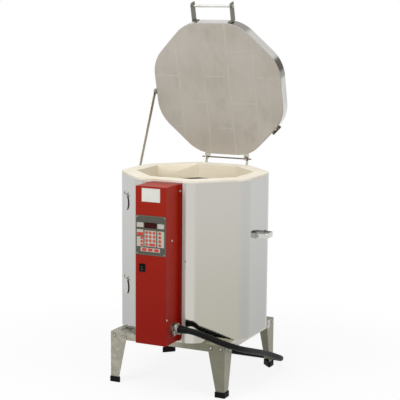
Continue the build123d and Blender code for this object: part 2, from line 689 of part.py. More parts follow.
LID_PLATE_IN = HINGE_X - HINGE_PLATE / 2 - HINGE_PLATE_GAP - HINGE_PLATE
with BuildPart() as hinge_lid_brackets:
    for sign in (-1, 1):
        a, b = sorted((sign * LID_PLATE_IN, sign * (LID_PLATE_IN + HINGE_PLATE)))
        with BuildSketch(opened(Plane(origin=(a, AXIS_Y, 0), x_dir=(0, 1, 0), z_dir=(1, 0, 0)))):
            Polygon((LID_HALF, LID_Z + LID_LIP), (HINGE_Y, HINGE_Z - HINGE_EYE_R), (HINGE_Y + HINGE_EYE_R, HINGE_Z),
                    (HINGE_Y + HINGE_ROD_R, LID_TOP + LID_STRAP_T), (LID_HALF - LID_STRAP_L, LID_TOP + LID_STRAP_T),
                    (LID_HALF - LID_STRAP_L, LID_TOP), (LID_HALF, LID_TOP), align=None)
            with Locations((HINGE_Y, HINGE_Z)):
                Circle(HINGE_EYE_R)
                Circle(HINGE_ROD_R + RUN_GAP, mode=Mode.SUBTRACT)
        extrude(amount=HINGE_PLATE)
        c, d = sorted((sign * LID_PLATE_IN, sign * (LID_PLATE_IN - LID_STRAP_W)))
        with BuildSketch(opened(shut(LID_TOP))):
            with Locations(((c + d) / 2, LID_HALF - LID_STRAP_L / 2)):
                Rectangle(d - c, LID_STRAP_L)
        extrude(amount=LID_STRAP_T)
hinge_lid_brackets.part.label = "hinge_lid_brackets"
export_step(hinge_lid_brackets.part, "parts/hinge_lid_brackets.step")

with BuildPart() as hinge_rod:
    with BuildSketch(Plane(origin=(-HINGE_ROD_END, AXIS_Y, 0), x_dir=(0, 1, 0), z_dir=(1, 0, 0))):
        with Locations((HINGE_Y, HINGE_Z)):
            Circle(HINGE_ROD_R)
    extrude(amount=2 * HINGE_ROD_END)
hinge_rod.part.label = "hinge_rod"
export_step(hinge_rod.part, "parts/hinge_rod.step")

with BuildPart() as hinge_washers:
    for sign in (-1, 1):
        start = min(sign * (BRACKET_OUT + WASHER_GAP), sign * (BRACKET_OUT + WASHER_GAP + WASHER_T))
        with BuildSketch(Plane(origin=(start, AXIS_Y, 0), x_dir=(0, 1, 0), z_dir=(1, 0, 0))):
            with Locations((HINGE_Y, HINGE_Z)):
                Circle(WASHER_R)
                Circle(HINGE_ROD_R + RUN_GAP, mode=Mode.SUBTRACT)
        extrude(amount=WASHER_T)
hinge_washers.part.label = "hinge_washers"
export_step(hinge_washers.part, "parts/hinge_washers.step")

# Screws holding the side handles and hinge brackets to the jacket
with BuildPart() as jacket_screws:
    for angle, side in ((0, 1), (180, -1)):
        spots = [(side * HANDLE_BACK + sign * HANDLE_SCREW, HANDLE_Z) for sign in (-1, 1)]
        screws(wall(angle, BODY_HALF + HANDLE_T), spots, 4.5, 2.4, FACE_SCREW_R, HANDLE_T)
    screws(wall(90, BODY_HALF + HINGE_PLATE), hinge_screw_spots, 4.5, 2.4, FACE_SCREW_R, HINGE_PLATE)
jacket_screws.part.label = "jacket_screws"
export_step(jacket_screws.part, "parts/jacket_screws.step")

# Lid handle: two flat plates footed on the band with a round grip between
GRIP_Z = LID_Z + GRIP_LOW
GRIP_MID = (GRIP_Z + LID_TOP) / 2
with BuildPart() as grip_plates:
    for sign in (-1, 1):
        a, b = sorted((sign * (GRIP_X - GRIP_PLATE / 2), sign * (GRIP_X + GRIP_PLATE / 2)))
        with BuildSketch(opened(Plane(origin=(a, AXIS_Y, 0), x_dir=(0, 1, 0), z_dir=(1, 0, 0)))):
            Polygon((-LID_HALF, GRIP_Z), (-LID_HALF, GRIP_Z + GRIP_WIDE), (-GRIP_OUT, GRIP_Z + GRIP_WIDE),
                    (-GRIP_OUT, GRIP_Z + 4), (-GRIP_OUT + 6, GRIP_Z), align=None)
        extrude(amount=GRIP_PLATE)
        c, d = sorted((sign * (GRIP_X - GRIP_PLATE / 2), sign * (GRIP_X - GRIP_FOOT)))
        with BuildSketch(opened(wall(270, LID_HALF))):
            with Locations(((c + d) / 2, GRIP_MID)):
                Rectangle(d - c, LID_T - GRIP_LOW)
        extrude(amount=2)
    with BuildSketch(opened(Plane(origin=(-GRIP_X - 10, AXIS_Y, 0), x_dir=(0, 1, 0), z_dir=(1, 0, 0)))):
        with Locations((GRIP_ROD_Y, GRIP_MID)):
            Circle(GRIP_ROD_R - 1)
    extrude(amount=2 * GRIP_X + 20, mode=Mode.SUBTRACT)
grip_plates.part.label = "grip_plates"
export_step(grip_plates.part, "parts/grip_plates.step")

with BuildPart() as grip_rod:
    inside = GRIP_X - GRIP_PLATE / 2
    with BuildSketch(opened(Plane(origin=(-inside, AXIS_Y, 0), x_dir=(0, 1, 0), z_dir=(1, 0, 0)))):
        with Locations((GRIP_ROD_Y, GRIP_MID)):
            Circle(GRIP_ROD_R)
    extrude(amount=2 * inside)
    ends = GRIP_X + GRIP_PLATE / 2
    with BuildSketch(opened(Plane(origin=(-ends, AXIS_Y, 0), x_dir=(0, 1, 0), z_dir=(1, 0, 0)))):
        with Locations((GRIP_ROD_Y, GRIP_MID)):
            Circle(GRIP_ROD_R - 1.3)
    extrude(amount=2 * ends)
    for sign in (-1, 1):
        start = min(sign * ends, sign * (ends + 6))
        with BuildSketch(opened(Plane(origin=(start, AXIS_Y, 0), x_dir=(0, 1, 0), z_dir=(1, 0, 0)))):
            with Locations((GRIP_ROD_Y, GRIP_MID)):
                RegularPolygon(8, 6)
        extrude(amount=6)
grip_rod.part.label = "grip_rod"
export_step(grip_rod.part, "parts/grip_rod.step")

# Prop: bracket on the lid's left edge, pivot bolt, arm, and rest bolt on the body
BOSS_END = PROP_IN - 0.4
with BuildPart() as prop_bracket:
    with BuildSketch(opened(wall(180, LID_HALF))):
        with Locations((-PROP_Y, BAND_MID)):
            RectangleRounded(46, 30, 3)
    extrude(amount=2)
    with BuildSketch(opened(wall(180, LID_HALF))):
        with Locations((-PROP_Y, PROP_Z)):
            RectangleRounded(20, 24, 4)
    extrude(amount=BOSS_END - LID_HALF)
prop_bracket.part.label = "prop_bracket"
export_step(prop_bracket.part, "parts/prop_bracket.step")

pivot_y, pivot_z = open_point(PROP_Y, PROP_Z)
rest_y = pivot_y - PROP_REACH * sin(radians(PROP_LEAN))
rest_z = pivot_z - PROP_REACH * cos(radians(PROP_LEAN))
arm_turn = Pos(-PROP_IN, AXIS_Y + pivot_y, pivot_z) * Rot(-PROP_LEAN, 0, 0)
arm_plane = Plane(arm_turn * Plane(origin=(0, 0, 0), x_dir=(0, -1, 0), z_dir=(-1, 0, 0)).location)

with BuildPart() as prop_bolt:
    with BuildSketch(Plane(origin=(-BOSS_END, AXIS_Y + pivot_y, pivot_z), x_dir=(0, -1, 0), z_dir=(-1, 0, 0))):
        Circle(PROP_BOLT_R)
    extrude(amount=PROP_T + 0.8)
    with BuildSketch(Plane(origin=(-BOSS_END - PROP_T - 0.8, AXIS_Y + pivot_y, pivot_z), x_dir=(0, -1, 0),
                           z_dir=(-1, 0, 0))):
        RegularPolygon(7, 6)
    extrude(amount=4)
prop_bolt.part.label = "prop_bolt"
export_step(prop_bolt.part, "parts/prop_bolt.step")

with BuildPart() as prop_arm:
    with BuildSketch(arm_plane):
        with Locations((0, -PROP_REACH / 2)):
            SlotCenterToCenter(PROP_REACH, PROP_W, rotation=90)
        Circle(PROP_BOLT_R + RUN_GAP, mode=Mode.SUBTRACT)
        with Locations((0, -PROP_REACH)):
            Circle(PROP_REST_R + 0.5, mode=Mode.SUBTRACT)
    extrude(amount=PROP_T)
prop_arm.part.label = "prop_arm"
export_step(prop_arm.part, "parts/prop_arm.step")

with BuildPart() as prop_rest:
    rod(wall(180, BODY_HALF), (-rest_y, rest_z), 10, 2)
    rod(wall(180, BODY_HALF), (-rest_y, rest_z), PROP_REST_R, PROP_IN - PROP_PIN_CUT - BODY_HALF)
prop_rest.part.label = "prop_rest"
export_step(prop_rest.part, "parts/prop_rest.step")

# Control box: back plate, standoffs and cover
with BuildPart() as box_back:
    with BuildSketch(wall(270, BOX_BACK - BOX_SHEET)):
        with Locations((0, (BOX_LOW + BOX_HIGH) / 2)):
            RectangleRounded(2 * (FLANGE_OUT - BACK_IN), BOX_HIGH - BOX_LOW - 2 * BACK_IN, FLANGE_R - BACK_IN)
        with Locations(*tails):
            Circle(INSULATOR_R + 1, mode=Mode.SUBTRACT)
        with Locations((0, THERMO_Z)):
            Circle(THERMO_R + 1, mode=Mode.SUBTRACT)
        with Locations(*[(sign * STANDOFF_X, z) for sign in (-1, 1) for z in STANDOFF_Z]):
            Circle(SCREW_R + SCREW_GAP, mode=Mode.SUBTRACT)
    extrude(amount=BOX_SHEET)
box_back.part.label = "box_back"
export_step(box_back.part, "parts/box_back.step")

with BuildPart() as box_standoffs:
    for sign in (-1, 1):
        for z in STANDOFF_Z:
            rod(wall(270, BODY_HALF), (sign * STANDOFF_X, z), STANDOFF_R, BOX_BACK - BOX_SHEET - BODY_HALF)
            rod(wall(270, BODY_HALF + STANDOFF_SKIN), (sign * STANDOFF_X, z), SCREW_R + SCREW_GAP, BOX_GAP, Mode.SUBTRACT)
box_standoffs.part.label = "box_standoffs"
export_step(box_standoffs.part, "parts/box_standoffs.step")

FLANGE_FACE = BOX_BACK + BOX_SHEET
with BuildPart() as box_cover:
    bar((-BOX_HALF, -BOX_FRONT, BOX_LOW), (BOX_HALF, -BOX_BACK, BOX_HIGH))
    bar((-BOX_HALF + BOX_SHEET, -BOX_FRONT + BOX_SHEET, BOX_LOW + BOX_SHEET),
        (BOX_HALF - BOX_SHEET, -BOX_BACK, BOX_HIGH - BOX_SHEET), Mode.SUBTRACT)
    for sign in (-1, 1):
        with BuildSketch(wall(270, BOX_BACK)) as flange:
            with Locations((sign * (BOX_HALF - BOX_SHEET + FLANGE_OUT) / 2, (BOX_LOW + BOX_HIGH) / 2)):
                Rectangle(FLANGE_W + BOX_SHEET, BOX_HIGH - BOX_LOW)
            fillet(flange.vertices().sort_by(lambda v: -sign * v.X)[0:2], FLANGE_R)
        extrude(amount=BOX_SHEET)
        for z in STANDOFF_Z:
            rod(wall(270, FLANGE_FACE), (sign * STANDOFF_X, z), SCREW_R + SCREW_GAP, -BOX_SHEET, Mode.SUBTRACT)
        side = 0 if sign > 0 else 180
        for y, z in SIDE_SCREWS:
            rod(wall(side, BOX_HALF), (sign * y, z), FACE_SCREW_R + FACE_SCREW_ROOM, -BOX_SHEET, Mode.SUBTRACT)
    with BuildSketch(wall(270, BOX_FRONT)):
        with Locations(SWITCH_AT):
            Rectangle(SWITCH_W - 3, SWITCH_H - 3)
    extrude(amount=-BOX_SHEET, mode=Mode.SUBTRACT)
    rod(wall(0, BOX_HALF), GLAND_AT, GLAND_R + CORD_GAP, -BOX_SHEET, Mode.SUBTRACT)
box_cover.part.label = "box_cover"
export_step(box_cover.part, "parts/box_cover.step")

with BuildPart() as box_screws:
    spots = [(sign * STANDOFF_X, z) for sign in (-1, 1) for z in STANDOFF_Z]
    screws(wall(270, FLANGE_FACE), spots, 4.5, 2.6, SCREW_R, FLANGE_FACE - BODY_HALF - STANDOFF_SKIN)
    for side, sign in ((0, 1), (180, -1)):
        screws(wall(side, BOX_HALF), [(sign * y, z) for y, z in SIDE_SCREWS], 4.2, 2.4, FACE_SCREW_R, 6)
box_screws.part.label = "box_screws"
export_step(box_screws.part, "parts/box_screws.step")

# Keypad panel, its printed fields, keys and display window
PANEL_MID = (PANEL_Z[0] + PANEL_Z[1]) / 2
PANEL_FACE = BOX_FRONT + PANEL_T
panel_screw_spots = [(sign * (PANEL_HALF - PANEL_SCREW_IN), z) for sign in (-1, 1)
                     for z in (PANEL_Z[0] + PANEL_SCREW_IN, PANEL_Z[1] - PANEL_SCREW_IN)]
with BuildPart() as keypad_panel:
    with BuildSketch(wall(270, BOX_FRONT)):
        with Locations((0, PANEL_MID)):
            RectangleRounded(2 * PANEL_HALF, PANEL_Z[1] - PANEL_Z[0], 3)
        with Locations(*panel_screw_spots):
            Circle(PANEL_SCREW_R + SCREW_GAP, mode=Mode.SUBTRACT)
    extrude(amount=PANEL_T)
keypad_panel.part.label = "keypad_panel"
export_step(keypad_panel.part, "parts/keypad_panel.step")

fields = ((-60.0, -31.0, 679.0, 697.0), (29.0, 57.5, 678.0, 696.0), (-26.5, 23.5, 606.0, 668.0),
          (29.0, 57.5, 605.0, 668.0), (-43.5, 40.0, 585.5, 600.5), (-60.0, -31.5, 645.5, 670.0),
          (-60.0, -31.5, 604.0, 642.0))
with BuildPart() as keypad_fields:
    with BuildSketch(wall(270, PANEL_FACE)):
        for left, right, low, high in fields:
            with Locations(((left + right) / 2, (low + high) / 2)):
                RectangleRounded(right - left, high - low, 1.5)
    extrude(amount=PRINT_T)
keypad_fields.part.label = "keypad_fields"
export_step(keypad_fields.part, "parts/keypad_fields.step")

KEY_FACE = PANEL_FACE + PRINT_T
KEY_R = 6.0
SIDE_KEY_X = 39.0
STEP_KEY_X = -38.3
key_rows = (659.6, 644.2, 628.8, 613.4)
key_columns = (-17.5, -1.7, 14.8)
step_key_rows = (636.8, 623.6, 610.4)
with BuildPart() as keypad_keys:
    with BuildSketch(wall(270, KEY_FACE)):
        for n, z in enumerate(key_rows):
            with Locations(*[(x, z) for x in key_columns[:3 if n < 3 else 1]], (SIDE_KEY_X, z)):
                Circle(KEY_R)
        with Locations(*[(STEP_KEY_X, z) for z in step_key_rows]):
            RectangleRounded(11.0, 9.5, 4.0)
        with Locations(((key_columns[1] + key_columns[2]) / 2, key_rows[3])):
            RectangleRounded(27.0, 10.0, 4.0)
        with Locations(*[(x, (fields[4][2] + fields[4][3]) / 2) for x in (-27.5, -1.7, 25.0)]):
            RectangleRounded(20.0, 11.0, 3.0)
        with Locations(((fields[5][0] + fields[5][1]) / 2, fields[5][2] + 7.0)):
            Rectangle(26.5, 13.0)
    extrude(amount=PRINT_T)
keypad_keys.part.label = "keypad_keys"
export_step(keypad_keys.part, "parts/keypad_keys.step")

with BuildPart() as display_window:
    with BuildSketch(wall(270, PANEL_FACE)):
        with Locations(DISPLAY_AT):
            RectangleRounded(DISPLAY_W, DISPLAY_H, 1.5)
    extrude(amount=DISPLAY_T)
display_window.part.label = "display_window"
export_step(display_window.part, "parts/display_window.step")

with BuildPart() as panel_screws:
    screws(wall(270, PANEL_FACE), panel_screw_spots, 3.2, 1.6, PANEL_SCREW_R, PANEL_T)
panel_screws.part.label = "panel_screws"
export_step(panel_screws.part, "parts/panel_screws.step")

with BuildPart() as blank_label:
    with BuildSketch(wall(270, BOX_FRONT)):
        with Locations(((LABEL[0] + LABEL[1]) / 2, (LABEL[2] + LABEL[3]) / 2)):
            Rectangle(LABEL[1] - LABEL[0], LABEL[3] - LABEL[2])
    extrude(amount=0.6)
blank_label.part.label = "blank_label"
export_step(blank_label.part, "parts/blank_label.step")

# Parts inside the box
INSIDE = BOX_FRONT - BOX_SHEET
RELAY_X = 47.0
RELAY_Z = 440.0
TRANSFORMER_Z = 760.0
TERMINAL_Z = 240.0
with BuildPart() as controller_board:
    with BuildSketch(wall(270, INSIDE - 6)):
        with Locations((0, PANEL_MID)):
            RectangleRounded(110, 130, 3)
    extrude(amount=1.6)
    with BuildSketch(wall(270, INSIDE - 4.4)):
        with Locations(*[(sx * 49, PANEL_MID + sz * 59) for sx in (-1, 1) for sz in (-1, 1)]):
            Circle(3)
    extrude(amount=4.4)
    with BuildSketch(wall(270, INSIDE - 16)):
        with Locations((-20, PANEL_MID - 20), (25, PANEL_MID + 25)):
            Rectangle(34, 26)
    extrude(amount=10)
controller_board.part.label = "controller_board"
export_step(controller_board.part, "parts/controller_board.step")

with BuildPart() as relays:
    with BuildSketch(wall(270, BOX_BACK)):
        with Locations((RELAY_X, RELAY_Z + 30), (-RELAY_X, RELAY_Z)):
            RectangleRounded(26, 44, 2)
    extrude(amount=34)
relays.part.label = "relays"
export_step(relays.part, "parts/relays.step")

with BuildPart() as transformer:
    with BuildSketch(wall(270, BOX_BACK)):
        with Locations((RELAY_X, TRANSFORMER_Z)):
            Rectangle(28, 44)
    extrude(amount=36)
    with BuildSketch(wall(270, BOX_BACK)):
        with Locations((RELAY_X, TRANSFORMER_Z)):
            Rectangle(24, 62)
    extrude(amount=22)
transformer.part.label = "transformer"
export_step(transformer.part, "parts/transformer.step")

with BuildPart() as terminal_block:
    with BuildSketch(wall(270, BOX_BACK)):
        with Locations((0, TERMINAL_Z)):
            Rectangle(78, 26)
    extrude(amount=24)
    for x in (-26, 0, 26):
        with BuildSketch(wall(270, BOX_BACK + 24)):
            with Locations((x, TERMINAL_Z)):
                Rectangle(18, 12)
        extrude(amount=-8, mode=Mode.SUBTRACT)
        rod(wall(270, BOX_BACK + 16), (x, TERMINAL_Z), 4, 4)
terminal_block.part.label = "terminal_block"
export_step(terminal_block.part, "parts/terminal_block.step")

# Power switch: bezel with body, and the rocker in it
SWITCH_FACE = BOX_FRONT + 2.0
PIVOT_DIST = BOX_FRONT - 1.0
with BuildPart() as switch_body:
    with BuildSketch(wall(270, BOX_FRONT)):
        with Locations(SWITCH_AT):
            RectangleRounded(SWITCH_W, SWITCH_H, 2)
    extrude(amount=2)
    with BuildSketch(wall(270, BOX_FRONT)):
        with Locations(SWITCH_AT):
            Rectangle(SWITCH_W - 4, SWITCH_H - 4)
    extrude(amount=-22)
    with BuildSketch(wall(270, SWITCH_FACE)):
        with Locations(SWITCH_AT):
            Rectangle(19, 24.6)
    extrude(amount=-16, mode=Mode.SUBTRACT)
switch_body.part.label = "switch_body"
export_step(switch_body.part, "parts/switch_body.step")

rocker_turn = Pos(SWITCH_AT[0] - 9, AXIS_Y - PIVOT_DIST, SWITCH_AT[1]) * Rot(ROCKER_REST, 0, 0)
with BuildPart() as switch_rocker:
    with BuildSketch(Plane(rocker_turn * Plane(origin=(0, 0, 0), x_dir=(0, 1, 0), z_dir=(1, 0, 0)).location)):
        Polygon((-4.2, 0), (-5.6, 10.6), (4.0, 10.6), (7.0, 4.0), (7.0, -4.0), (4.0, -10.6), (-5.6, -10.6),
                align=None)
    extrude(amount=18)
switch_rocker.part.label = "switch_rocker"
export_step(switch_rocker.part, "parts/switch_rocker.step")

# Cord gland: threaded neck through the cover, collar and clamp bar
with BuildPart() as cord_gland:
    rod(wall(0, BOX_HALF - GLAND_NECK), GLAND_AT, GLAND_R, GLAND_OUT + GLAND_NECK)
    with BuildSketch(wall(0, BOX_HALF)):
        with Locations(GLAND_AT):
            RegularPolygon(24, 8, rotation=22.5)
    extrude(amount=5)
    with BuildSketch(wall(0, BOX_HALF - BOX_SHEET)):
        with Locations(GLAND_AT):
            RegularPolygon(22, 6)
    extrude(amount=-5)
    with BuildSketch(wall(0, BOX_HALF + 9)):
        with Locations((GLAND_AT[0], GLAND_Z - CLAMP_FOOT + 8)):
            RectangleRounded(CLAMP_W, 16, 3)
        with Locations((GLAND_AT[0], GLAND_Z + 6)):
            Circle(GLAND_R + 2)
    extrude(amount=14)
    rod(wall(0, CORD_START), GLAND_AT, CORD_R + CORD_GAP, CORD_GRIP, Mode.SUBTRACT)
cord_gland.part.label = "cord_gland"
export_step(cord_gland.part, "parts/cord_gland.step")

with BuildPart() as gland_screws:
    for sign in (-1, 1):
        with BuildSketch(shut(GLAND_Z - CLAMP_FOOT - 3)):
            with Locations((BOX_HALF + GLAND_R, GLAND_AT[0] + sign * (CLAMP_W / 2 - 4))):
                Circle(4)
        extrude(amount=3)
gland_screws.part.label = "gland_screws"
export_step(gland_screws.part, "parts/gland_screws.step")

# Power cord along straight runs joined by tangent arcs, and its plug on the floor
FLOOR_LIE = CORD_R + CORD_GAP
cord_points = [(CORD_START, *GLAND_AT), (142.0, *GLAND_AT), (196.0, -321.0, 262.0), (256.0, -284.0, 231.0),
               (298.0, -208.0, 194.0), (306.0, -62.0, 147.0), (302.0, 72.0, 104.0), (306.0, 156.0, 70.0),
               (303.0, 230.0, 42.0), (262.0, 296.0, 20.0), (194.0, 332.0, FLOOR_LIE), (76.0, 330.0, FLOOR_LIE),
               (-52.0, 338.0, FLOOR_LIE), (-176.0, 364.0, FLOOR_LIE), (-278.0, 430.0, FLOOR_LIE),
               (-334.0, 526.0, FLOOR_LIE)]
route = [Vector(x, y + AXIS_Y, z) for x, y, z in cord_points]
radii = []
for before, here, after in zip(route, route[1:], route[2:]):
    one, two = here - before, after - here
    turn = radians(one.get_angle(two))
    radii.append(0.45 * min(one.length, two.length) / tan(turn / 2))
print("cord bend radii", [round(r) for r in radii])

with BuildPart() as power_cord:
    with BuildLine() as cord_line:
        FilletPolyline(*route, radius=radii)
    with BuildSketch(Plane(origin=cord_line.line @ 0, z_dir=cord_line.line % 0)):
        Circle(CORD_R)
    sweep(path=cord_line.line)
power_cord.part.label = "power_cord"
export_step(power_cord.part, "parts/power_cord.step")
print("cord length", round(cord_line.wires()[0].length, 1),
      "volume ratio", round(power_cord.part.volume / (3.14159265 * CORD_R ** 2 * cord_line.wires()[0].length), 4))

plug_way = cord_line.line % 1
plug_end = cord_line.line @ 1
with BuildPart() as power_plug:
    plug_lift = Plane(origin=plug_end, x_dir=(plug_way.Y, -plug_way.X, 0), z_dir=plug_way)
    with BuildSketch(plug_lift):
        RectangleRounded(PLUG_NECK_W, 2 * FLOOR_LIE, PLUG_NECK_R)
    extrude(amount=PLUG_NECK_L)
    with BuildSketch(plug_lift.offset(PLUG_NECK_L)):
        Rectangle(2 * PLUG_R, 2 * FLOOR_LIE)
    extrude(amount=PLUG_L)
    with BuildSketch(plug_lift.offset(PLUG_NECK_L + PLUG_L)):
        with Locations((-14, 0), (14, 0)):
            Rectangle(3, 12)
        with Locations((0, 6)):
            Circle(3)
    extrude(amount=20)
power_plug.part.label = "power_plug"
export_step(power_plug.part, "parts/power_plug.step")
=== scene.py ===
import json
import math

import bmesh
import bpy
from mathutils import Matrix, Vector


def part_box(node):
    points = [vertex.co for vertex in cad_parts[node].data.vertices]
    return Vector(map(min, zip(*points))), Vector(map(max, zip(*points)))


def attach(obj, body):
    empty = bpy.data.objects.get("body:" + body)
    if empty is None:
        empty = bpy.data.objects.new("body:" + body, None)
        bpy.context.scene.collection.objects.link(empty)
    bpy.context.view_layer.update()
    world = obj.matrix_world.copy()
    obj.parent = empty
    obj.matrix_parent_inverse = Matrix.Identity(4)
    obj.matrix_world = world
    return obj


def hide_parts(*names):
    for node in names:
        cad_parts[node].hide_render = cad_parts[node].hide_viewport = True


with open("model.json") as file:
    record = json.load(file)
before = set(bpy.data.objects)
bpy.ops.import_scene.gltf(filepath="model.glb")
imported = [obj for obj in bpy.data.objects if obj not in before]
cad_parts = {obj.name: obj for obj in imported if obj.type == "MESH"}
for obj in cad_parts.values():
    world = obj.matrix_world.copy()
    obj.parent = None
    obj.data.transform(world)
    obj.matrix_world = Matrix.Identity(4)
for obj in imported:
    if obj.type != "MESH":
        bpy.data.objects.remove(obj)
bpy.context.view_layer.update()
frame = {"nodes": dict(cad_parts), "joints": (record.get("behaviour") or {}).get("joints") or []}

MM = 0.001
BODY, LID, ROCKER = "kiln body", "lid", "power switch rocker"
UP = Vector((0, 0, 1))
FACETS = 8
FACET_TURN = math.tau / FACETS
AXIS_Y = 20.0


def point(x, y, z):
    """A place given in millimetres from the kiln's axis and the floor."""
    return Vector((x, y + AXIS_Y, z)) * MM


def box_of(node):
    """Lowest and highest corners of a node, in millimetres from the kiln's axis and the floor."""
    return [corner / MM - Vector((0, AXIS_Y, 0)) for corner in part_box(node)]


def reach_out(node):
    """How far forward of the kiln's axis a node's face stands, in millimetres."""
    return -box_of(node)[0].y


def joint_of(name):
    """A joint's place from the kiln's axis, in millimetres, and its range in radians."""
    joint = next(entry for entry in frame["joints"] if entry["name"] == name)
    x, y, z = (along / MM for along in joint["pos_m"])
    return (x, y - AXIS_Y, z), math.radians(joint["range_deg"][1])


# Sizes taken from the solids, in millimetres
BODY_HALF = box_of("jacket")[1].x
LID_HALF = box_of("lid_band")[1].x
RIM_Z = box_of("wall_course_5")[1].z
COURSES = [f"wall_course_{number}" for number in range(1, 6)]
(_, HINGE_Y, HINGE_Z), LID_OPEN = joint_of("lid hinge")
ROCKER_PIVOT, ROCKER_TRAVEL = joint_of("power switch pivot")

# Sizes repeated from the solids, in millimetres
LID_SEAT_GAP, LID_CORNER = 0.3, 150.0
LID_LOW = RIM_Z + LID_SEAT_GAP
LID_COLUMN, LID_BRICK = 115.4, 228.6
LID_JOINT_EVEN, LID_JOINT_ODD = -60.0, 54.3
ROW_SHARE = (0.12, 0.42)
ELEMENT_HALF, ELEMENT_CORNER, ELEMENT_D = 227.0, 25.0, 11.0
STAND_SCREW_Z, STAND_SCREW_NEAR, STAND_SCREW_FAR = 196.0, 193.5, 236.5


def new_object(name, data):
    made = bpy.data.objects.new(name, data)
    bpy.context.scene.collection.objects.link(made)
    return made


# Camera: lens and sensor in millimetres, places in metres
LENS, SENSOR = 108.593, 36.0
NEAREST, FARTHEST = 0.05, 60.0
EYE = (2.1017, -4.3787, 1.5027)
AZIMUTH, PITCH, ROLL = (math.radians(a) for a in (25.302, 8.98, -0.46))


def aim_camera():
    across = Vector((math.cos(AZIMUTH), math.sin(AZIMUTH), 0))
    level = Vector((-math.sin(AZIMUTH), math.cos(AZIMUTH), 0))
    ahead = level * math.cos(PITCH) - UP * math.sin(PITCH)
    above = across.cross(ahead)
    right = across * math.cos(ROLL) - above * math.sin(ROLL)
    up = above * math.cos(ROLL) + across * math.sin(ROLL)
    data = bpy.data.cameras.new("camera")
    data.lens, data.sensor_width = LENS, SENSOR
    data.clip_start, data.clip_end = NEAREST, FARTHEST
    camera = new_object("camera", data)
    camera.matrix_world = Matrix.Translation(EYE) @ Matrix((right, up, -ahead)).transposed().to_4x4()
    bpy.context.scene.camera = camera


aim_camera()


# Surface finishes, with places in metres from the kiln's axis and the floor

class Value:
    """A number, colour or vector running between nodes."""

    def __init__(self, finish, socket):
        self.finish, self.socket = finish, socket

    def __add__(self, other):
        return self.finish.maths("ADD", self, other)

    __radd__ = __add__

    def __sub__(self, other):
        return self.finish.maths("SUBTRACT", self, other)

    def __rsub__(self, other):
        return self.finish.maths("SUBTRACT", other, self)

    def __mul__(self, other):
        return self.finish.maths("MULTIPLY", self, other)

    __rmul__ = __mul__

    def __truediv__(self, other):
        return self.finish.maths("DIVIDE", self, other)

    def __floordiv__(self, other):
        return self.finish.maths("FLOOR", self / other)

    def __mod__(self, other):
        return self.finish.maths("MODULO", self, other)

    def __pow__(self, other):
        return self.finish.maths("POWER", self, other)

    def __abs__(self):
        return self.finish.maths("ABSOLUTE", self)

    def below(self, edge):
        return self.finish.maths("LESS_THAN", self, edge)

    def above(self, edge):
        return self.finish.maths("GREATER_THAN", self, edge)

    def larger(self, other):
        return self.finish.maths("MAXIMUM", self, other)

    def smaller(self, other):
        return self.finish.maths("MINIMUM", self, other)

    def off_lines(self, spacing):
        """Distance from the nearest of a row of evenly spaced lines."""
        return self.finish.maths("PINGPONG", self, spacing / 2)


class Outputs:
    """What a node gives, by name or number."""

    def __init__(self, finish, made):
        self.finish, self.made = finish, made

    def __getitem__(self, name):
        return Value(self.finish, self.made.outputs[name])


class Finish:
    """A node material, written as sums."""

    def __init__(self, name, tree=None):
        if tree is None:
            self.material = bpy.data.materials.new(name)
            self.material.use_nodes = True
            tree = self.material.node_tree
        self.tree = tree
        self.tree.nodes.clear()

    def node(self, kind, settings=None, sockets=None):
        made = self.tree.nodes.new(kind)
        for key, value in (settings or {}).items():
            setattr(made, key, value)
        for key, value in (sockets or {}).items():
            if isinstance(value, Value):
                self.tree.links.new(value.socket, made.inputs[key])
            else:
                made.inputs[key].default_value = value
        return Outputs(self, made)

    def maths(self, operation, *terms):
        return self.node("ShaderNodeMath", {"operation": operation}, dict(enumerate(terms)))["Value"]

    def vectors(self, operation, one, two):
        return self.node("ShaderNodeVectorMath", {"operation": operation}, {0: one, 1: two})

    def dot(self, one, two):
        return self.vectors("DOT_PRODUCT", one, two)["Value"]

    def place(self):
        return self.node("ShaderNodeTexCoord")["Object"]

    def axes(self, place):
        split = self.node("ShaderNodeSeparateXYZ", None, {0: place})
        return split["X"], split["Y"], split["Z"]

    def kiln_axes(self):
        """Distances across, back and up from the kiln's axis at the floor."""
        x, y, z = self.axes(self.place())
        return x, y - AXIS_Y * MM, z

    def noise(self, scale, detail=3.0, rough=0.5, stretch=None, place=None):
        place = place or self.place()
        if stretch:
            place = self.vectors("MULTIPLY", place, stretch)["Vector"]
        sockets = {"Vector": place, "Scale": scale, "Detail": detail, "Roughness": rough}
        return self.node("ShaderNodeTexNoise", None, sockets)["Fac"]

    def crystals(self, scale):
        """A random tone for each cell of a cracked pattern."""
        cells = self.node("ShaderNodeTexVoronoi", None, {"Vector": self.place(), "Scale": scale})
        return self.axes(cells["Color"])[0]

    def ramp(self, value, low, high):
        """Eases from 0 at low to 1 at high."""
        return self.node("ShaderNodeMapRange", {"clamp": True, "interpolation_type": "SMOOTHSTEP"},
                         {"Value": value, "From Min": low, "From Max": high})["Result"]

    def span(self, value, start, full, fading, end):
        """1 from full to fading, easing to 0 at start and end."""
        return self.ramp(value, start, full) * (1 - self.ramp(value, fading, end))

    def blend(self, factor, one, two):
        return self.node("ShaderNodeMix", {"data_type": "RGBA", "clamp_factor": True},
                         {0: factor, 6: one, 7: two})[2]

    def bump(self, height, distance, strength, under=None):
        sockets = {"Height": height, "Distance": distance, "Strength": strength}
        if under:
            sockets["Normal"] = under
        return self.node("ShaderNodeBump", None, sockets)["Normal"]

    def surface(self, colour, roughness, metallic, normal, specular=0.5):
        shader = self.node("ShaderNodeBsdfPrincipled", None, {
            "Base Color": colour, "Roughness": roughness, "Metallic": metallic, "Normal": normal,
            "Specular IOR Level": specular})["BSDF"]
        self.node("ShaderNodeOutputMaterial", None, {"Surface": shader})
        return self.material


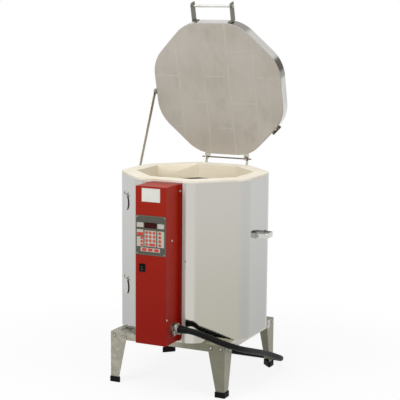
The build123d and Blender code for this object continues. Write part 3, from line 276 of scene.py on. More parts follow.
def rgb(red, green, blue):
    """A display colour out of 255, given to the shader as light."""
    def light(value):
        value /= 255
        return value / 12.92 if value <= 0.04045 else ((value + 0.055) / 1.055) ** 2.4
    return (light(red), light(green), light(blue), 1.0)


# Where the jacket's painted reflections, painted shade and dull strip change
JACKET_PAINTED_SHADE_HEIGHT = (0.2, 0.82)
LEFT_TURN, RIGHT_TURN = (-0.16, -0.1), (0.252, 0.276)
PAINTED_HIGHLIGHT_STRIP = (0.076, 0.084, 0.122, 0.136)
DULL_STRIP = (0.0812, 0.0825, 0.09, 0.1)


def jacket_steel():
    """Polished stainless sheet with painted reflections: warmer on the right front, cooler at the sides, a
    lighter strip beside the box and broad lighter vertical bands; painted shade makes it duller towards the
    floor.
    """
    f = Finish("jacket_steel")
    x, y, z = f.kiln_axes()
    front = y.below(0.0)
    grain = f.noise(220, 4, 0.6, (1, 1, 0.015))
    waviness_and_painted_bands = f.noise(2.1, 2, 0.4, (1, 1, 0.3))
    smear = f.noise(9, 4, 0.6)
    # Painted shade: the jacket's colour darkens towards the floor
    low = 1 - f.ramp(z, *JACKET_PAINTED_SHADE_HEIGHT)
    # Painted reflections: one tone for the front facets, a cooler one for the left facets and another for
    # the right side, each with painted shade below
    painted_front_reflection = f.blend(low, rgb(194, 190, 183), rgb(172, 169, 154))
    painted_side_reflection = f.blend(low, rgb(177, 177, 175), rgb(145, 146, 143))
    right = f.blend(low, rgb(186, 186, 184), rgb(163, 163, 161))
    colour = f.blend(f.ramp(x, *LEFT_TURN), painted_side_reflection, painted_front_reflection)
    colour = f.blend(f.ramp(x, *RIGHT_TURN), colour, right)
    # Painted highlight: a lighter strip on the front beside the control box
    colour = f.blend(f.span(x, *PAINTED_HIGHLIGHT_STRIP) * front * 0.8, colour, rgb(205, 202, 195))
    # Painted reflection: broad lighter vertical bands, from the same noise that waves the sheet
    colour = f.blend(waviness_and_painted_bands * 0.35, colour, rgb(206, 204, 198))
    colour = f.blend(f.ramp(smear, 0.55, 0.8) * 0.2, colour, rgb(184, 182, 174))
    dull = f.span(abs(x), *DULL_STRIP) * front
    roughness = 0.045 + 0.04 * grain + 0.04 * smear + 0.5 * dull
    wave = f.bump(waviness_and_painted_bands, 0.002, 0.25)
    return f.surface(colour, roughness, 1 - 0.9 * dull, f.bump(grain, 0.00001, 0.3, wave))


def band_steel():
    """Bright stainless strip round the lid."""
    f = Finish("band_steel")
    grain = f.noise(300, 3, 0.6, (0.08, 1, 1))
    smear = f.noise(14, 3, 0.6)
    colour = f.blend(smear, rgb(214, 213, 208), rgb(190, 190, 188))
    return f.surface(colour, 0.12 + 0.14 * smear, 1.0, f.bump(grain, 0.00003, 0.4))


# Where the stand's painted shade, painted light and painted screw shadows fall
SHADED_FRONT = (0.02, 0.14)
RIGHT_SIDE = 0.2
PAINTED_LIGHT_HEIGHT, PAINTED_LIGHT_END = (0.172, 0.184), (0.2, 0.22)
SCREW_SHADOW_RING = (0.0062, 0.0085)


def galvanised():
    """Zinc-coated sheet with soft crystals and dull patches, with painted shade on faces towards the kiln's
    right, a painted band of light along the right-hand rails and painted shadow round the screws.
    """
    f = Finish("galvanised")
    x, y, z = f.kiln_axes()
    facing, sideways, _ = f.axes(f.node("ShaderNodeNewGeometry")["True Normal"])
    crystal = f.crystals(75)
    patch = f.noise(11, 4, 0.6)
    streak = f.noise(60, 3, 0.6, (1, 1, 0.08))
    colour = f.blend(crystal * 0.55 + streak * 0.45, rgb(186, 182, 168), rgb(150, 147, 134))
    colour = f.blend(f.ramp(patch, 0.5, 0.8) * 0.5, colour, rgb(134, 130, 116))
    # Painted shade: faces not turned to the right go darker towards the kiln's right
    colour = f.blend(f.ramp(x, *SHADED_FRONT) * facing.below(0.5) * 0.85, colour, rgb(116, 116, 98))
    right = facing.above(0.5) * x.above(RIGHT_SIDE)
    # Painted shade: faces turned to the right, on the kiln's right, go darker
    colour = f.blend(right * 0.7, colour, rgb(140, 139, 124))
    # Painted light: a bright band across the outer face of the right-hand rails
    painted_rail_light = right * f.ramp(z, *PAINTED_LIGHT_HEIGHT) * (1 - f.ramp(abs(y), *PAINTED_LIGHT_END))
    colour = f.blend(painted_rail_light * 0.8, colour, rgb(222, 219, 210))
    front = abs(sideways).above(0.5)
    across = abs(x) * front + abs(y) * (1 - front)
    middle = (STAND_SCREW_FAR + STAND_SCREW_NEAR) / 2 * MM
    half = (STAND_SCREW_FAR - STAND_SCREW_NEAR) / 2 * MM
    off_screw = abs(abs(across - middle) - half)
    rise = z - STAND_SCREW_Z * MM
    ring = (off_screw * off_screw + rise * rise) ** 0.5
    # Painted shadow: a dark ring round each stand screw head
    colour = f.blend((1 - f.ramp(ring, *SCREW_SHADOW_RING)) * 0.75, colour, rgb(72, 68, 60))
    return f.surface(colour, 0.34 + 0.22 * patch, 0.75, f.bump(crystal, 0.00006, 0.4))


def plain_steel(name, light, dark, scale=120, rough=0.28):
    """Drawn or rolled bright steel with fine scratches."""
    f = Finish(name)
    scratch = f.noise(scale * 6, 3, 0.6, (1, 0.12, 1))
    smear = f.noise(scale * 0.25, 4, 0.6)
    return f.surface(f.blend(smear, light, dark), rough + 0.18 * smear, 1.0, f.bump(scratch, 0.00003, 0.5))


# The chamber's inside ends at this radius and this far under the rim, in millimetres
INSIDE_R, RIM_EDGE = 262.0, 1.4


def firebrick(name, face, shade, inner=None):
    """Soft insulating brick: pale, pitted and dusty."""
    f = Finish(name)
    cloud = f.noise(7, 4, 0.6)
    grain = f.noise(420, 4, 0.7)
    pits = f.ramp(f.noise(260, 3, 0.65), 0.62, 0.72)
    colour = f.blend(f.ramp(cloud, 0.3, 0.75), face, shade)
    # Painted light: the chamber's inside has its own pale, warm brick tones, set high to make up for the
    # dimmer light inside the chamber
    if inner:
        x, y, z = f.kiln_axes()
        inside = z.below((RIM_Z - RIM_EDGE) * MM) * ((x * x + y * y) ** 0.5).below(INSIDE_R * MM)
        colour = f.blend(inside, colour, f.blend(cloud, *inner))
    colour = f.blend(f.ramp(grain, 0.35, 0.75) * 0.22, colour, rgb(205, 188, 150))
    # Painted shade: the pits are darkened as well as sunk
    colour = f.blend(pits * 0.5, colour, rgb(176, 158, 124))
    return f.surface(colour, 0.86 + 0.1 * grain, 0.0, f.bump(grain - pits * 1.5, 0.0007, 0.6), 0.25)


# The cement wash ends this far above the lid's underside, in millimetres
WASH_UP = 48.0

# How far the lid's joints wander, and between which widths they fade
JOINT_WANDER, JOINT_EDGE = 0.008, (0.001, 0.0055)


def lid_brick():
    """Underside of the lid, washed with grey cement that shows the brick joints."""
    f = Finish("lid_brick")
    across, _, _ = f.kiln_axes()
    from_hinge = f.vectors("SUBTRACT", f.place(), point(0, HINGE_Y, HINGE_Z))["Vector"]
    back = f.dot(from_hinge, (0, math.cos(LID_OPEN), -math.sin(LID_OPEN))) + HINGE_Y * MM
    rise = f.dot(from_hinge, (0, math.sin(LID_OPEN), math.cos(LID_OPEN))) + HINGE_Z * MM
    wobble = (f.noise(16, 3, 0.6) - 0.5) * JOINT_WANDER
    column, brick = LID_COLUMN * MM, LID_BRICK * MM
    from_edge = across + column / 2
    odd = abs(from_edge // column) % 2
    even_gap = (back - LID_JOINT_EVEN * MM + wobble).off_lines(brick)
    odd_gap = (back - LID_JOINT_ODD * MM + wobble).off_lines(brick)
    row_gap = even_gap * (1 - odd) + odd_gap * odd
    column_gap = (from_edge + wobble).off_lines(column)
    joint = 1 - f.ramp(column_gap.smaller(row_gap), *JOINT_EDGE)
    patch = f.noise(5.5, 5, 0.62)
    worn = f.noise(26, 4, 0.6, (1, 0.5, 0.5))
    grain = f.noise(480, 4, 0.7)
    colour = f.blend(f.ramp(patch, 0.32, 0.72), rgb(203, 196, 187), rgb(190, 183, 172))
    colour = f.blend(f.ramp(worn, 0.52, 0.72) * 0.45, colour, rgb(178, 172, 161))
    colour = f.blend(joint * f.ramp(worn, 0.34, 0.66) * 0.5, colour, rgb(216, 211, 202))
    bare = f.blend(patch, rgb(236, 226, 204), rgb(222, 209, 184))
    colour = f.blend(rise.above((LID_LOW + WASH_UP) * MM), colour, bare)
    colour = f.blend(f.ramp(grain, 0.4, 0.75) * 0.15, colour, rgb(160, 150, 132))
    normal = f.bump(grain * 0.6 - joint * 0.8, 0.0006, 0.5)
    return f.surface(colour, 0.84 + 0.12 * grain, 0.0, normal, 0.25)


# Painted shade deepens the enamel from the top of this span to its bottom
ENAMEL_SHADE_HEIGHT = (0.2, 0.8)


def red_enamel():
    """Baked red enamel with slight orange peel, with painted shade making it a little darker towards the
    floor.
    """
    f = Finish("red_enamel")
    _, _, z = f.kiln_axes()
    cloud = f.noise(6, 3, 0.6)
    peel = f.noise(650, 2)
    speck = f.ramp(f.noise(900, 2, 0.6), 0.7, 0.78)
    colour = f.blend(cloud, rgb(167, 40, 23), rgb(158, 33, 18))
    # Painted shade: the enamel darkens towards the floor
    colour = f.blend((1 - f.ramp(z, *ENAMEL_SHADE_HEIGHT)) * 0.7, colour, rgb(140, 16, 6))
    colour = f.blend(speck * 0.3, colour, rgb(110, 20, 12))
    return f.surface(colour, 0.34 + 0.1 * cloud, 0.0, f.bump(peel, 0.00006, 0.3), 0.12)


def rubber(name, tone, rough):
    """Black rubber or plastic, dusty in places."""
    f = Finish(name)
    dust = f.noise(34, 4, 0.65)
    colour = f.blend(f.ramp(dust, 0.5, 0.85) * 0.5, rgb(*tone), rgb(*(part + 10 for part in tone)))
    return f.surface(colour, rough + 0.2 * dust, 0.0, f.bump(f.noise(900, 2), 0.00008, 0.4), 0.14)


def print_ink(name, light, dark, rough=0.42, shine=0.2):
    """Screen-printed ink on a film overlay."""
    f = Finish(name)
    cloud = f.noise(40, 3, 0.6)
    normal = f.bump(f.noise(1400, 2), 0.00003, 0.35)
    return f.surface(f.blend(cloud, light, dark), rough + 0.12 * cloud, 0.0, normal, shine)


def porcelain(name, light, dark):
    """Unglazed white porcelain."""
    f = Finish(name)
    grain = f.noise(700, 3, 0.6)
    colour = f.blend(f.noise(60, 3, 0.6), light, dark)
    return f.surface(colour, 0.5 + 0.2 * grain, 0.0, f.bump(grain, 0.0001, 0.3))


def coil_wire():
    """Resistance wire under grey-brown oxide."""
    f = Finish("coil_wire")
    heat = f.noise(80, 4, 0.6)
    colour = f.blend(heat, rgb(104, 98, 92), rgb(70, 62, 56))
    return f.surface(colour, 0.5 + 0.25 * heat, 0.6, f.bump(f.noise(900, 2), 0.00005, 0.4))


FINISH = {
    "jacket": jacket_steel(),
    "band": band_steel(),
    "zinc sheet": galvanised(),
    "steel": plain_steel("strap_steel", rgb(205, 204, 198), rgb(170, 169, 164)),
    "dull steel": plain_steel("dull_steel", rgb(150, 146, 138), rgb(112, 108, 100), 90, 0.36),
    "screw zinc": plain_steel("screw_zinc", rgb(176, 174, 166), rgb(136, 133, 124), 200, 0.3),
    "dark screw": plain_steel("dark_screw", rgb(98, 92, 86), rgb(70, 66, 60), 200, 0.4),
    "arm steel": plain_steel("arm_steel", rgb(190, 184, 168), rgb(166, 160, 144)),
    "clamp steel": plain_steel("clamp_steel", rgb(140, 132, 120), rgb(108, 100, 90), 120, 0.32),
    "bracket steel": plain_steel("bracket_steel", rgb(216, 212, 196), rgb(188, 184, 168), 100, 0.32),
    "flap steel": plain_steel("flap_steel", rgb(204, 204, 202), rgb(188, 188, 185), 90, 0.3),
    "rod steel": plain_steel("rod_steel", rgb(140, 130, 114), rgb(114, 104, 90), 120, 0.34),
    "chrome": plain_steel("handle_chrome", rgb(212, 213, 210), rgb(192, 193, 189), 60, 0.06),
    "iron": plain_steel("core_iron", rgb(104, 98, 92), rgb(78, 74, 70), 100, 0.45),
    "coil": coil_wire(),
    "wall brick": firebrick("wall_brick", rgb(250, 244, 231), rgb(244, 234, 214),
                            (rgb(252, 243, 224), rgb(246, 235, 211))),
    "floor brick": firebrick("floor_brick", rgb(240, 230, 206), rgb(230, 217, 188)),
    "lid brick": lid_brick(),
    "cement": firebrick("cement_board", rgb(190, 188, 180), rgb(170, 168, 160)),
    "porcelain": porcelain("porcelain", rgb(240, 236, 224), rgb(222, 216, 200)),
    "enamel": red_enamel(),
    "cap rubber": rubber("cap_rubber", (7, 7, 7), 0.55),
    "cord rubber": rubber("cord_rubber", (4, 4, 4), 0.42),
    "plastic": rubber("moulded_plastic", (4, 3, 3), 0.4),
    "panel": print_ink("panel_ground", rgb(94, 95, 85), rgb(84, 84, 74)),
    "field": print_ink("panel_field", rgb(206, 200, 188), rgb(190, 184, 172)),
    "line": print_ink("panel_line", rgb(150, 148, 136), rgb(136, 134, 122)),
    "key": print_ink("key_red", rgb(206, 82, 66), rgb(194, 72, 58)),
    "numeral": print_ink("key_numeral", rgb(228, 194, 176), rgb(218, 182, 162)),
    "label": print_ink("blank_plate", rgb(240, 238, 232), rgb(228, 226, 218)),
    "window": print_ink("display_tint", rgb(44, 4, 5), rgb(36, 3, 4), 0.3, 0.1),
    "segment": print_ink("segment_red", rgb(92, 12, 10), rgb(78, 9, 8), 0.3),
    "board": print_ink("board_green", rgb(42, 98, 58), rgb(34, 82, 48), 0.4),
}

WEARS = {
    "jacket": ["jacket"],
    "band": ["lid_band"],
    "zinc sheet": ["stand_legs", "stand_rails", "corner_gussets", "floor_pan", "box_standoffs"],
    "steel": ["grip_rod", "peephole_pins", "stand_screws", "box_screws"],
    "dull steel": ["grip_plates", "prop_bracket"],
    "screw zinc": ["jacket_screws", "panel_screws", "gland_screws", "prop_rest", "prop_bolt",
                   "element_tails", "cord_gland"],
    "dark screw": ["peephole_screws"],
    "arm steel": ["prop_arm"],
    "clamp steel": ["band_clamp"],
    "bracket steel": ["hinge_body_brackets", "hinge_lid_brackets"],
    "flap steel": ["peephole_leaves", "peephole_cover_upper", "peephole_cover_lower"],
    "rod steel": ["hinge_rod", "hinge_washers"],
    "chrome": ["side_handle_right", "side_handle_left"],
    "iron": ["transformer"],
    "coil": ["heating_elements"],
    "wall brick": COURSES,
    "floor brick": ["floor_slab"],
    "lid brick": ["lid_bricks"],
    "cement": ["floor_board"],
    "porcelain": ["tail_insulators", "thermocouple", "thermocouple_block"],
    "enamel": ["box_cover", "box_back"],
    "cap rubber": ["foot_caps"],
    "cord rubber": ["power_cord", "power_plug"],
    "plastic": ["relays", "terminal_block", "switch_body", "switch_rocker"],
    "panel": ["keypad_panel"],
    "field": ["keypad_fields"],
    "key": ["keypad_keys"],
    "label": ["blank_label"],
    "window": ["display_window"],
    "board": ["controller_board"],
}

# Widths of softened edges on the solids, in millimetres
SHARP_ANGLE, EDGE_STEPS, WELD_GAP = math.radians(50), 2, 0.02
SOFT_EDGES = {
    "wall_course_5": 2.2, "lid_bricks": 2.0, "box_cover": 1.2, "foot_caps": 1.0, "side_handle_right": 0.7,
    "side_handle_left": 0.7, "switch_rocker": 0.7, "switch_body": 0.5, "prop_arm": 0.5, "cord_gland": 0.8,
    "power_plug": 2.5, "grip_plates": 0.5,
}


def wear_finish(piece, name):
    piece.data.materials.clear()
    piece.data.materials.append(FINISH[name])


def dress_solids():
    for name, nodes in WEARS.items():
        for node in nodes:
            wear_finish(frame["nodes"][node], name)
    for node, width in SOFT_EDGES.items():
        piece = frame["nodes"][node]
        weld = piece.modifiers.new("weld", "WELD")
        weld.merge_threshold = WELD_GAP * MM
        bevel = piece.modifiers.new("edges", "BEVEL")
        bevel.width, bevel.segments = width * MM, EDGE_STEPS
        bevel.limit_method, bevel.angle_limit = "ANGLE", SHARP_ANGLE
        bevel.harden_normals = False


dress_solids()


# Pieces made here
SMOOTH_ANGLE = math.radians(35)


def piece_from(name, mesh, finish, body, place=(0, 0, 0)):
    made = new_object(name, mesh)
    made.location = place
    wear_finish(made, finish)
    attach(made, body)
    return made


def mesh_from(name, build, smooth=True):
    mesh = bpy.data.meshes.new(name)
    work = bmesh.new()
    build(work)
    bmesh.ops.recalc_face_normals(work, faces=work.faces)
    work.to_mesh(mesh)
    work.free()
    if smooth:
        for face in mesh.polygons:
            face.use_smooth = True
        mesh.set_sharp_from_angle(angle=SMOOTH_ANGLE)
    return mesh


def turns(count):
    return [math.tau * k / count for k in range(count)]


def corners_at(work, places):
    return [work.verts.new(place) for place in places]


def join_rings(work, one, two):
    """Faces between two matching rings of corners."""
    for k, corner in enumerate(one):
        after = (k + 1) % len(one)
        work.faces.new((corner, one[after], two[after], two[k]))


def thin_plate(work, back, front):
    """Closed plate between two matching outlines."""
    back, front = corners_at(work, back), corners_at(work, front)
    work.faces.new(front)
    work.faces.new(reversed(back))
    join_rings(work, back, front)


def round_tube(work, centres, radii, sides, closed=False):
    """Skin round a chain of centres, its rings carried along without twist."""
    rings, side = [], None
    count = len(centres)
    for n, centre in enumerate(centres):
        ahead = centres[(n + 1) % count] if closed or n < count - 1 else centre
        behind = centres[n - 1] if closed or n > 0 else centre
        way = (ahead - behind).normalized()
        side = way.orthogonal() if side is None else side - way * side.dot(way)
        side.normalize()
        other = way.cross(side)
        ring = [centre + (side * math.cos(a) + other * math.sin(a)) * radii[n] for a in turns(sides)]
        rings.append(corners_at(work, ring))
    for one, two in zip(rings, rings[1:]):
        join_rings(work, one, two)
    if closed:
        join_rings(work, rings[-1], rings[0])
    else:
        work.faces.new(reversed(rings[0]))
        work.faces.new(rings[-1])


# Power cord: it leaves the gland, sags past the front right leg, turns on the floor and runs back behind.
# Its length is in metres, the rest in millimetres.
CORD_D, CORD_LENGTH = 24.0, 1.5
CORD_STEPS, CORD_SIDES = 12, 6
CORD_ROUTE = [(86.0, -331.0, 279.0), (142.0, -331.0, 279.0), (196.0, -321.0, 262.0), (256.0, -284.0, 231.0),
              (298.0, -208.0, 194.0), (306.0, -62.0, 147.0), (302.0, 72.0, 104.0), (306.0, 156.0, 70.0),
              (303.0, 230.0, 42.0), (262.0, 296.0, 20.0), (194.0, 332.0, 12.3), (76.0, 330.0, 12.3),
              (-52.0, 338.0, 12.3), (-176.0, 364.0, 12.3), (-278.0, 430.0, 12.3), (-334.0, 526.0, 12.3)]

# Rubber sleeve where the cord leaves the gland: distance along the cord and radius, in millimetres
SLEEVE_SIDES = 28
SLEEVE = [(0.5, 12.1), (6.5, 12.1), (9.0, 15.6), (12.0, 15.8), (18.0, 15.2), (24.0, 14.6), (30.0, 14.1),
          (36.0, 13.6), (41.0, 13.2), (44.0, 12.9), (46.0, 12.2)]


def lay_cord():
    data = bpy.data.curves.new("power_lead", "CURVE")
    data.dimensions = "3D"
    line = data.splines.new("NURBS")
    line.points.add(len(CORD_ROUTE) - 1)
    for control, place in zip(line.points, CORD_ROUTE):
        control.co = (*point(*place), 1.0)
    line.order_u = 3
    line.use_endpoint_u = True
    line.resolution_u = CORD_STEPS
    data.bevel_depth = CORD_D * MM / 2
    data.bevel_resolution = CORD_SIDES
    data.use_fill_caps = True
    lead = piece_from("power_lead", data, "cord rubber", BODY)
    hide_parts("power_cord")
    return lead


def cord_line(lead):
    """Places along the cord's own spline, each with the length run so far."""
    data = lead.data.copy()
    data.bevel_depth = 0.0
    bare = bpy.data.objects.new("bare_line", data)
    places = [corner.co.copy() for corner in bpy.data.meshes.new_from_object(bare).vertices]
    bpy.data.objects.remove(bare)
    run = [0.0]
    for one, two in zip(places, places[1:]):
        run.append(run[-1] + (two - one).length)
    return places, run


def place_on_cord(places, run, far):
    n = max(k for k in range(len(run) - 1) if run[k] <= far)
    return places[n].lerp(places[n + 1], (far - run[n]) / (run[n + 1] - run[n]))


def strain_relief(lead):
    """Tapered rubber sleeve on the cord where it leaves the gland."""
    places, run = cord_line(lead)
    centres = [place_on_cord(places, run, far * MM) for far, _ in SLEEVE]
    radii = [radius * MM for _, radius in SLEEVE]
    mesh = mesh_from("cord_boot", lambda work: round_tube(work, centres, radii, SLEEVE_SIDES))
    return piece_from("cord_boot", mesh, "cord rubber", BODY)


power_lead = lay_cord()
cord_boot = strain_relief(power_lead)
tuple(point(*CORD_ROUTE[0]))


# Heating coils lying in the brick grooves
WIRE_R, WIRE_SIDES, COIL_PITCH, COIL_STEPS = 0.85, 5, 5.2, 9
CORNER_STEPS = 6


def octagon_walk(half, corner, spacing):
    """Evenly spaced places round a rounded octagon, each with the way onward."""
    far = half / math.cos(FACET_TURN / 2)
    angles = [FACET_TURN * (k + 0.5) for k in range(FACETS)]
    tips = [Vector((far * math.cos(a), far * math.sin(a), 0)) for a in angles]
    cut = corner * math.tan(FACET_TURN / 2)
    path = []
    for k, tip in enumerate(tips):
        start = tip + (tips[k - 1] - tip).normalized() * cut
        centre = tip * (1 - corner / math.cos(FACET_TURN / 2) / tip.length)
        first = math.atan2((start - centre).y, (start - centre).x)
        for a in (first + FACET_TURN * n / CORNER_STEPS for n in range(CORNER_STEPS + 1)):
            path.append(centre + Vector((math.cos(a), math.sin(a), 0)) * corner)
    lengths = [(two - one).length for one, two in zip(path, path[1:] + path[:1])]
    total = sum(lengths)
    count = round(total / spacing)
    walk, n, gone = [], 0, 0.0
    for k in range(count):
        want = total * k / count
        while gone + lengths[n] < want:
            gone += lengths[n]
            n += 1
        one, two = path[n], path[(n + 1) % len(path)]
        walk.append((one.lerp(two, (want - gone) / lengths[n]), (two - one).normalized()))
    return walk


def coil_mesh():
    centres = []
    radius = ELEMENT_D / 2 - WIRE_R
    for n, (place, way) in enumerate(octagon_walk(ELEMENT_HALF, ELEMENT_CORNER, COIL_PITCH / COIL_STEPS)):
        out = Vector((way.y, -way.x, 0))
        a = math.tau * n / COIL_STEPS
        centres.append((place + out * radius * math.cos(a) + UP * radius * math.sin(a)) * MM)
    radii = [WIRE_R * MM] * len(centres)
    return mesh_from("heating_coil", lambda work: round_tube(work, centres, radii, WIRE_SIDES, True))


def coil_heights():
    """Two coils in each brick course, from the floor up."""
    heights = []
    for course in COURSES:
        low, high = box_of(course)
        heights += [low.z + (high.z - low.z) * share for share in ROW_SHARE]
    return heights


def lay_coils():
    mesh = coil_mesh()
    for number, z in enumerate(coil_heights(), 1):
        name = f"heating_coil_{number:02d}"
        coil = piece_from(name, mesh, "coil", BODY, point(0, 0, z))
        if number == 1:
            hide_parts("heating_elements")


lay_coils()


# Cement wash trowelled over the lid's underside, hiding the gaps between its bricks
WASH_IN, WASH_T, WASH_SUNK, WASH_STEP = 2.5, 0.2, 0.05, 12.0


def opened(x, y, z):
    """A place on the shut lid, turned about the hinge to where it stands open."""
    back, rise = y - HINGE_Y, z - HINGE_Z
    return point(x, HINGE_Y + back * math.cos(LID_OPEN) + rise * math.sin(LID_OPEN),
                 HINGE_Z - back * math.sin(LID_OPEN) + rise * math.cos(LID_OPEN))


def lid_wash(work):
    walk = octagon_walk(LID_HALF - WASH_IN, LID_CORNER - WASH_IN, WASH_STEP)
    low, high = LID_LOW - WASH_T, LID_LOW + WASH_SUNK
    under, over = ([opened(place.x, place.y, z) for place, _ in walk] for z in (low, high))
    thin_plate(work, under, over)


piece_from("lid_wash", mesh_from("lid_wash", lid_wash, False), "lid brick", LID)


# Numbers on the keys
NUMBER_H, NUMBER_T, PRINT_GAP = 6.0, 0.05, 0.02
KEY_ROWS = (659.6, 644.2, 628.8, 613.4)
KEY_COLUMNS = (-17.5, -1.7, 14.8)


def number_on_key(digit, x, z):
    name = f"key_number_{digit}"
    data = bpy.data.curves.new(name, "FONT")
    data.body, data.size = str(digit), NUMBER_H * MM
    data.align_x, data.align_y = "CENTER", "CENTER"
    data.extrude = NUMBER_T * MM
    shape = new_object(name, data)
    place = point(x, -reach_out("keypad_keys") - PRINT_GAP, z)
    shape.matrix_world = Matrix.Translation(place) @ Matrix.Rotation(math.radians(90), 4, "X")
    bpy.context.view_layer.update()
    solid = shape.evaluated_get(bpy.context.evaluated_depsgraph_get())
    mesh = bpy.data.meshes.new_from_object(solid)
    mesh.transform(shape.matrix_world)
    bpy.data.objects.remove(shape)
    mesh.name = name
    piece_from(name, mesh, "numeral", BODY)


def number_keys():
    for row, z in enumerate(KEY_ROWS[:3]):
        for column, x in enumerate(KEY_COLUMNS):
            number_on_key(3 * row + column + 1, x, z)
    number_on_key(0, KEY_COLUMNS[0], KEY_ROWS[3])


number_keys()


# Thin print on the front of the box: dim display segments and two borders
DIGITS, DIGIT_PITCH, DIGIT_IN = 4, 11.6, 4.7
LEVEL_X, LEVEL_RISE, LEVEL_HALF = (1.2, 7.0), 6.5, 0.7
UPRIGHT_X, UPRIGHT_Z, UPRIGHT_W, UPRIGHT_H = (-0.4, 6.6), (-5.6, 0.9), 1.4, 4.7
SEGMENT_T, BORDER_T = 0.08, 0.06
LABEL_INSET, LABEL_LINE = 1.5, 0.5
PANEL_INSET, PANEL_LINE = 1.6, 0.6


def rectangle(x0, z0, x1, z1):
    return [(x0, z0), (x1, z0), (x1, z1), (x0, z1)]


def print_on(node, name, outlines, thick, finish):
    """Raised shapes on the front face of a node, outlines as (x, z) in millimetres."""
    face = reach_out(node)

    def build(work):
        for outline in outlines:
            back, front = ([point(x, -out, z) for x, z in outline] for out in (face, face + thick))
            thin_plate(work, back, front)

    piece_from(name, mesh_from(name, build, False), finish, BODY)


def display_segments():
    """Three level and four upright bars for each digit of the display."""
    low, high = box_of("display_window")
    middle = (low.z + high.z) / 2
    bars = []
    for n in range(DIGITS):
        left = low.x + DIGIT_IN + n * DIGIT_PITCH
        for z in (middle - LEVEL_RISE, middle, middle + LEVEL_RISE):
            bars.append(rectangle(left + LEVEL_X[0], z - LEVEL_HALF, left + LEVEL_X[1], z + LEVEL_HALF))
        for x in (left + across for across in UPRIGHT_X):
            for z in (middle + rise for rise in UPRIGHT_Z):
                bars.append(rectangle(x, z, x + UPRIGHT_W, z + UPRIGHT_H))
    return bars


def border(node, inset, wide):
    """Four bars just inside the edge of a node's front face."""
    low, high = box_of(node)
    x0, x1, z0, z1 = low.x + inset, high.x - inset, low.z + inset, high.z - inset
    return [rectangle(x0, z0, x1, z0 + wide), rectangle(x0, z1 - wide, x1, z1),
            rectangle(x0, z0 + wide, x0 + wide, z1 - wide),
            rectangle(x1 - wide, z0 + wide, x1, z1 - wide)]


print_on("display_window", "display_segments", display_segments(), SEGMENT_T, "segment")
print_on("blank_label", "label_border", border("blank_label", LABEL_INSET, LABEL_LINE), BORDER_T, "field")
print_on("keypad_panel", "panel_border", border("keypad_panel", PANEL_INSET, PANEL_LINE), BORDER_T, "line")


# On and off marks on the rocker, whose face is a shallow valley tipped by half its travel
ROCKER_REST = ROCKER_TRAVEL / 2
ROCKER_VALLEY, ROCKER_EDGE = (-4.2, 0.0), (-5.6, 10.6)
MARK_LOW, MARK_HIGH = 0.02, 0.1
LINE_HALF, LINE_ALONG = 0.55, (3.2, 8.0)
CIRCLE_ALONG, CIRCLE_OUT, CIRCLE_IN, CIRCLE_SIDES = 5.6, 2.6, 1.7, 24
CIRCLE_SECTION = ((CIRCLE_OUT, MARK_LOW), (CIRCLE_OUT, MARK_HIGH),
                  (CIRCLE_IN, MARK_HIGH), (CIRCLE_IN, MARK_LOW))


def rocker_point(across, along, out, half):
    """A place over the top (half 1) or the bottom (half -1) of the rocker's face."""
    way = Vector((ROCKER_EDGE[0] - ROCKER_VALLEY[0], half * ROCKER_EDGE[1])).normalized()
    face = Vector((-abs(way.y), way.x * half))
    y, z = Vector(ROCKER_VALLEY) + way * along + face * out
    return point(ROCKER_PIVOT[0] + across,
                 ROCKER_PIVOT[1] + y * math.cos(ROCKER_REST) - z * math.sin(ROCKER_REST),
                 ROCKER_PIVOT[2] + y * math.sin(ROCKER_REST) + z * math.cos(ROCKER_REST))


def rocker_marks(work):
    line = rectangle(-LINE_HALF, LINE_ALONG[0], LINE_HALF, LINE_ALONG[1])
    back, front = ([rocker_point(x, along, out, 1) for x, along in line] for out in (MARK_LOW, MARK_HIGH))
    thin_plate(work, back, front)
    rings = []
    for radius, out in CIRCLE_SECTION:
        ring = [(math.cos(a) * radius, CIRCLE_ALONG + math.sin(a) * radius) for a in turns(CIRCLE_SIDES)]
        rings.append(corners_at(work, [rocker_point(x, along, out, -1) for x, along in ring]))
    for one, two in zip(rings, rings[1:] + rings[:1]):
        join_rings(work, one, two)


piece_from("rocker_marks", mesh_from("rocker_marks", rocker_marks, False), "line", ROCKER)


# Rivets in the jacket, and its back seam
DOME = ((1.0, 0.0), (0.94, 0.7), (0.72, 1.3), (0.38, 1.65), (0.004, 1.8))
DOME_SIDES = 16
JACKET_RIVETS = (((-217.4, -184.3, 223.4), -45.0), ((96.4, -282.8, 538.1), 9.6))
JACKET_RIVET_R, SEAM_RIVET_R = 2.6, 3.2
SEAM_HALF, SEAM_T, SEAM_GAP, SEAM_LOW_IN, SEAM_HIGH_IN = 14.0, 0.7, 0.05, 5.0, 2.0
SEAM_RIVETS, SEAM_RIVET_X, SEAM_RIVET_Z, SEAM_RIVET_PITCH = 9, 6.0, 240.0, 72.0


def rivet(work, place, heading, radius):
    """Low dome on a wall that faces the heading, in degrees from the front towards the right."""
    heading = math.radians(heading)
    out = Vector((math.sin(heading), -math.cos(heading), 0))
    side = Vector((-out.y, out.x, 0))
    ways = [side * math.cos(a) + UP * math.sin(a) for a in turns(DOME_SIDES)]
    rings = []
    for share, rise in DOME:
        rings.append(corners_at(work, [place + (way * radius * share + out * rise) * MM for way in ways]))
    for one, two in zip(rings, rings[1:]):
        join_rings(work, one, two)


def seam_strip(work):
    low, high = box_of("jacket")
    outline = rectangle(-SEAM_HALF, low.z + SEAM_LOW_IN, SEAM_HALF, high.z - SEAM_HIGH_IN)
    face = BODY_HALF + SEAM_GAP
    inner, outer = ([point(x, y, z) for x, z in outline] for y in (face, face + SEAM_T))
    thin_plate(work, inner, outer)
    for n in range(SEAM_RIVETS):
        place = point(SEAM_RIVET_X, face + SEAM_T, SEAM_RIVET_Z + n * SEAM_RIVET_PITCH)
        rivet(work, place, 180.0, SEAM_RIVET_R)


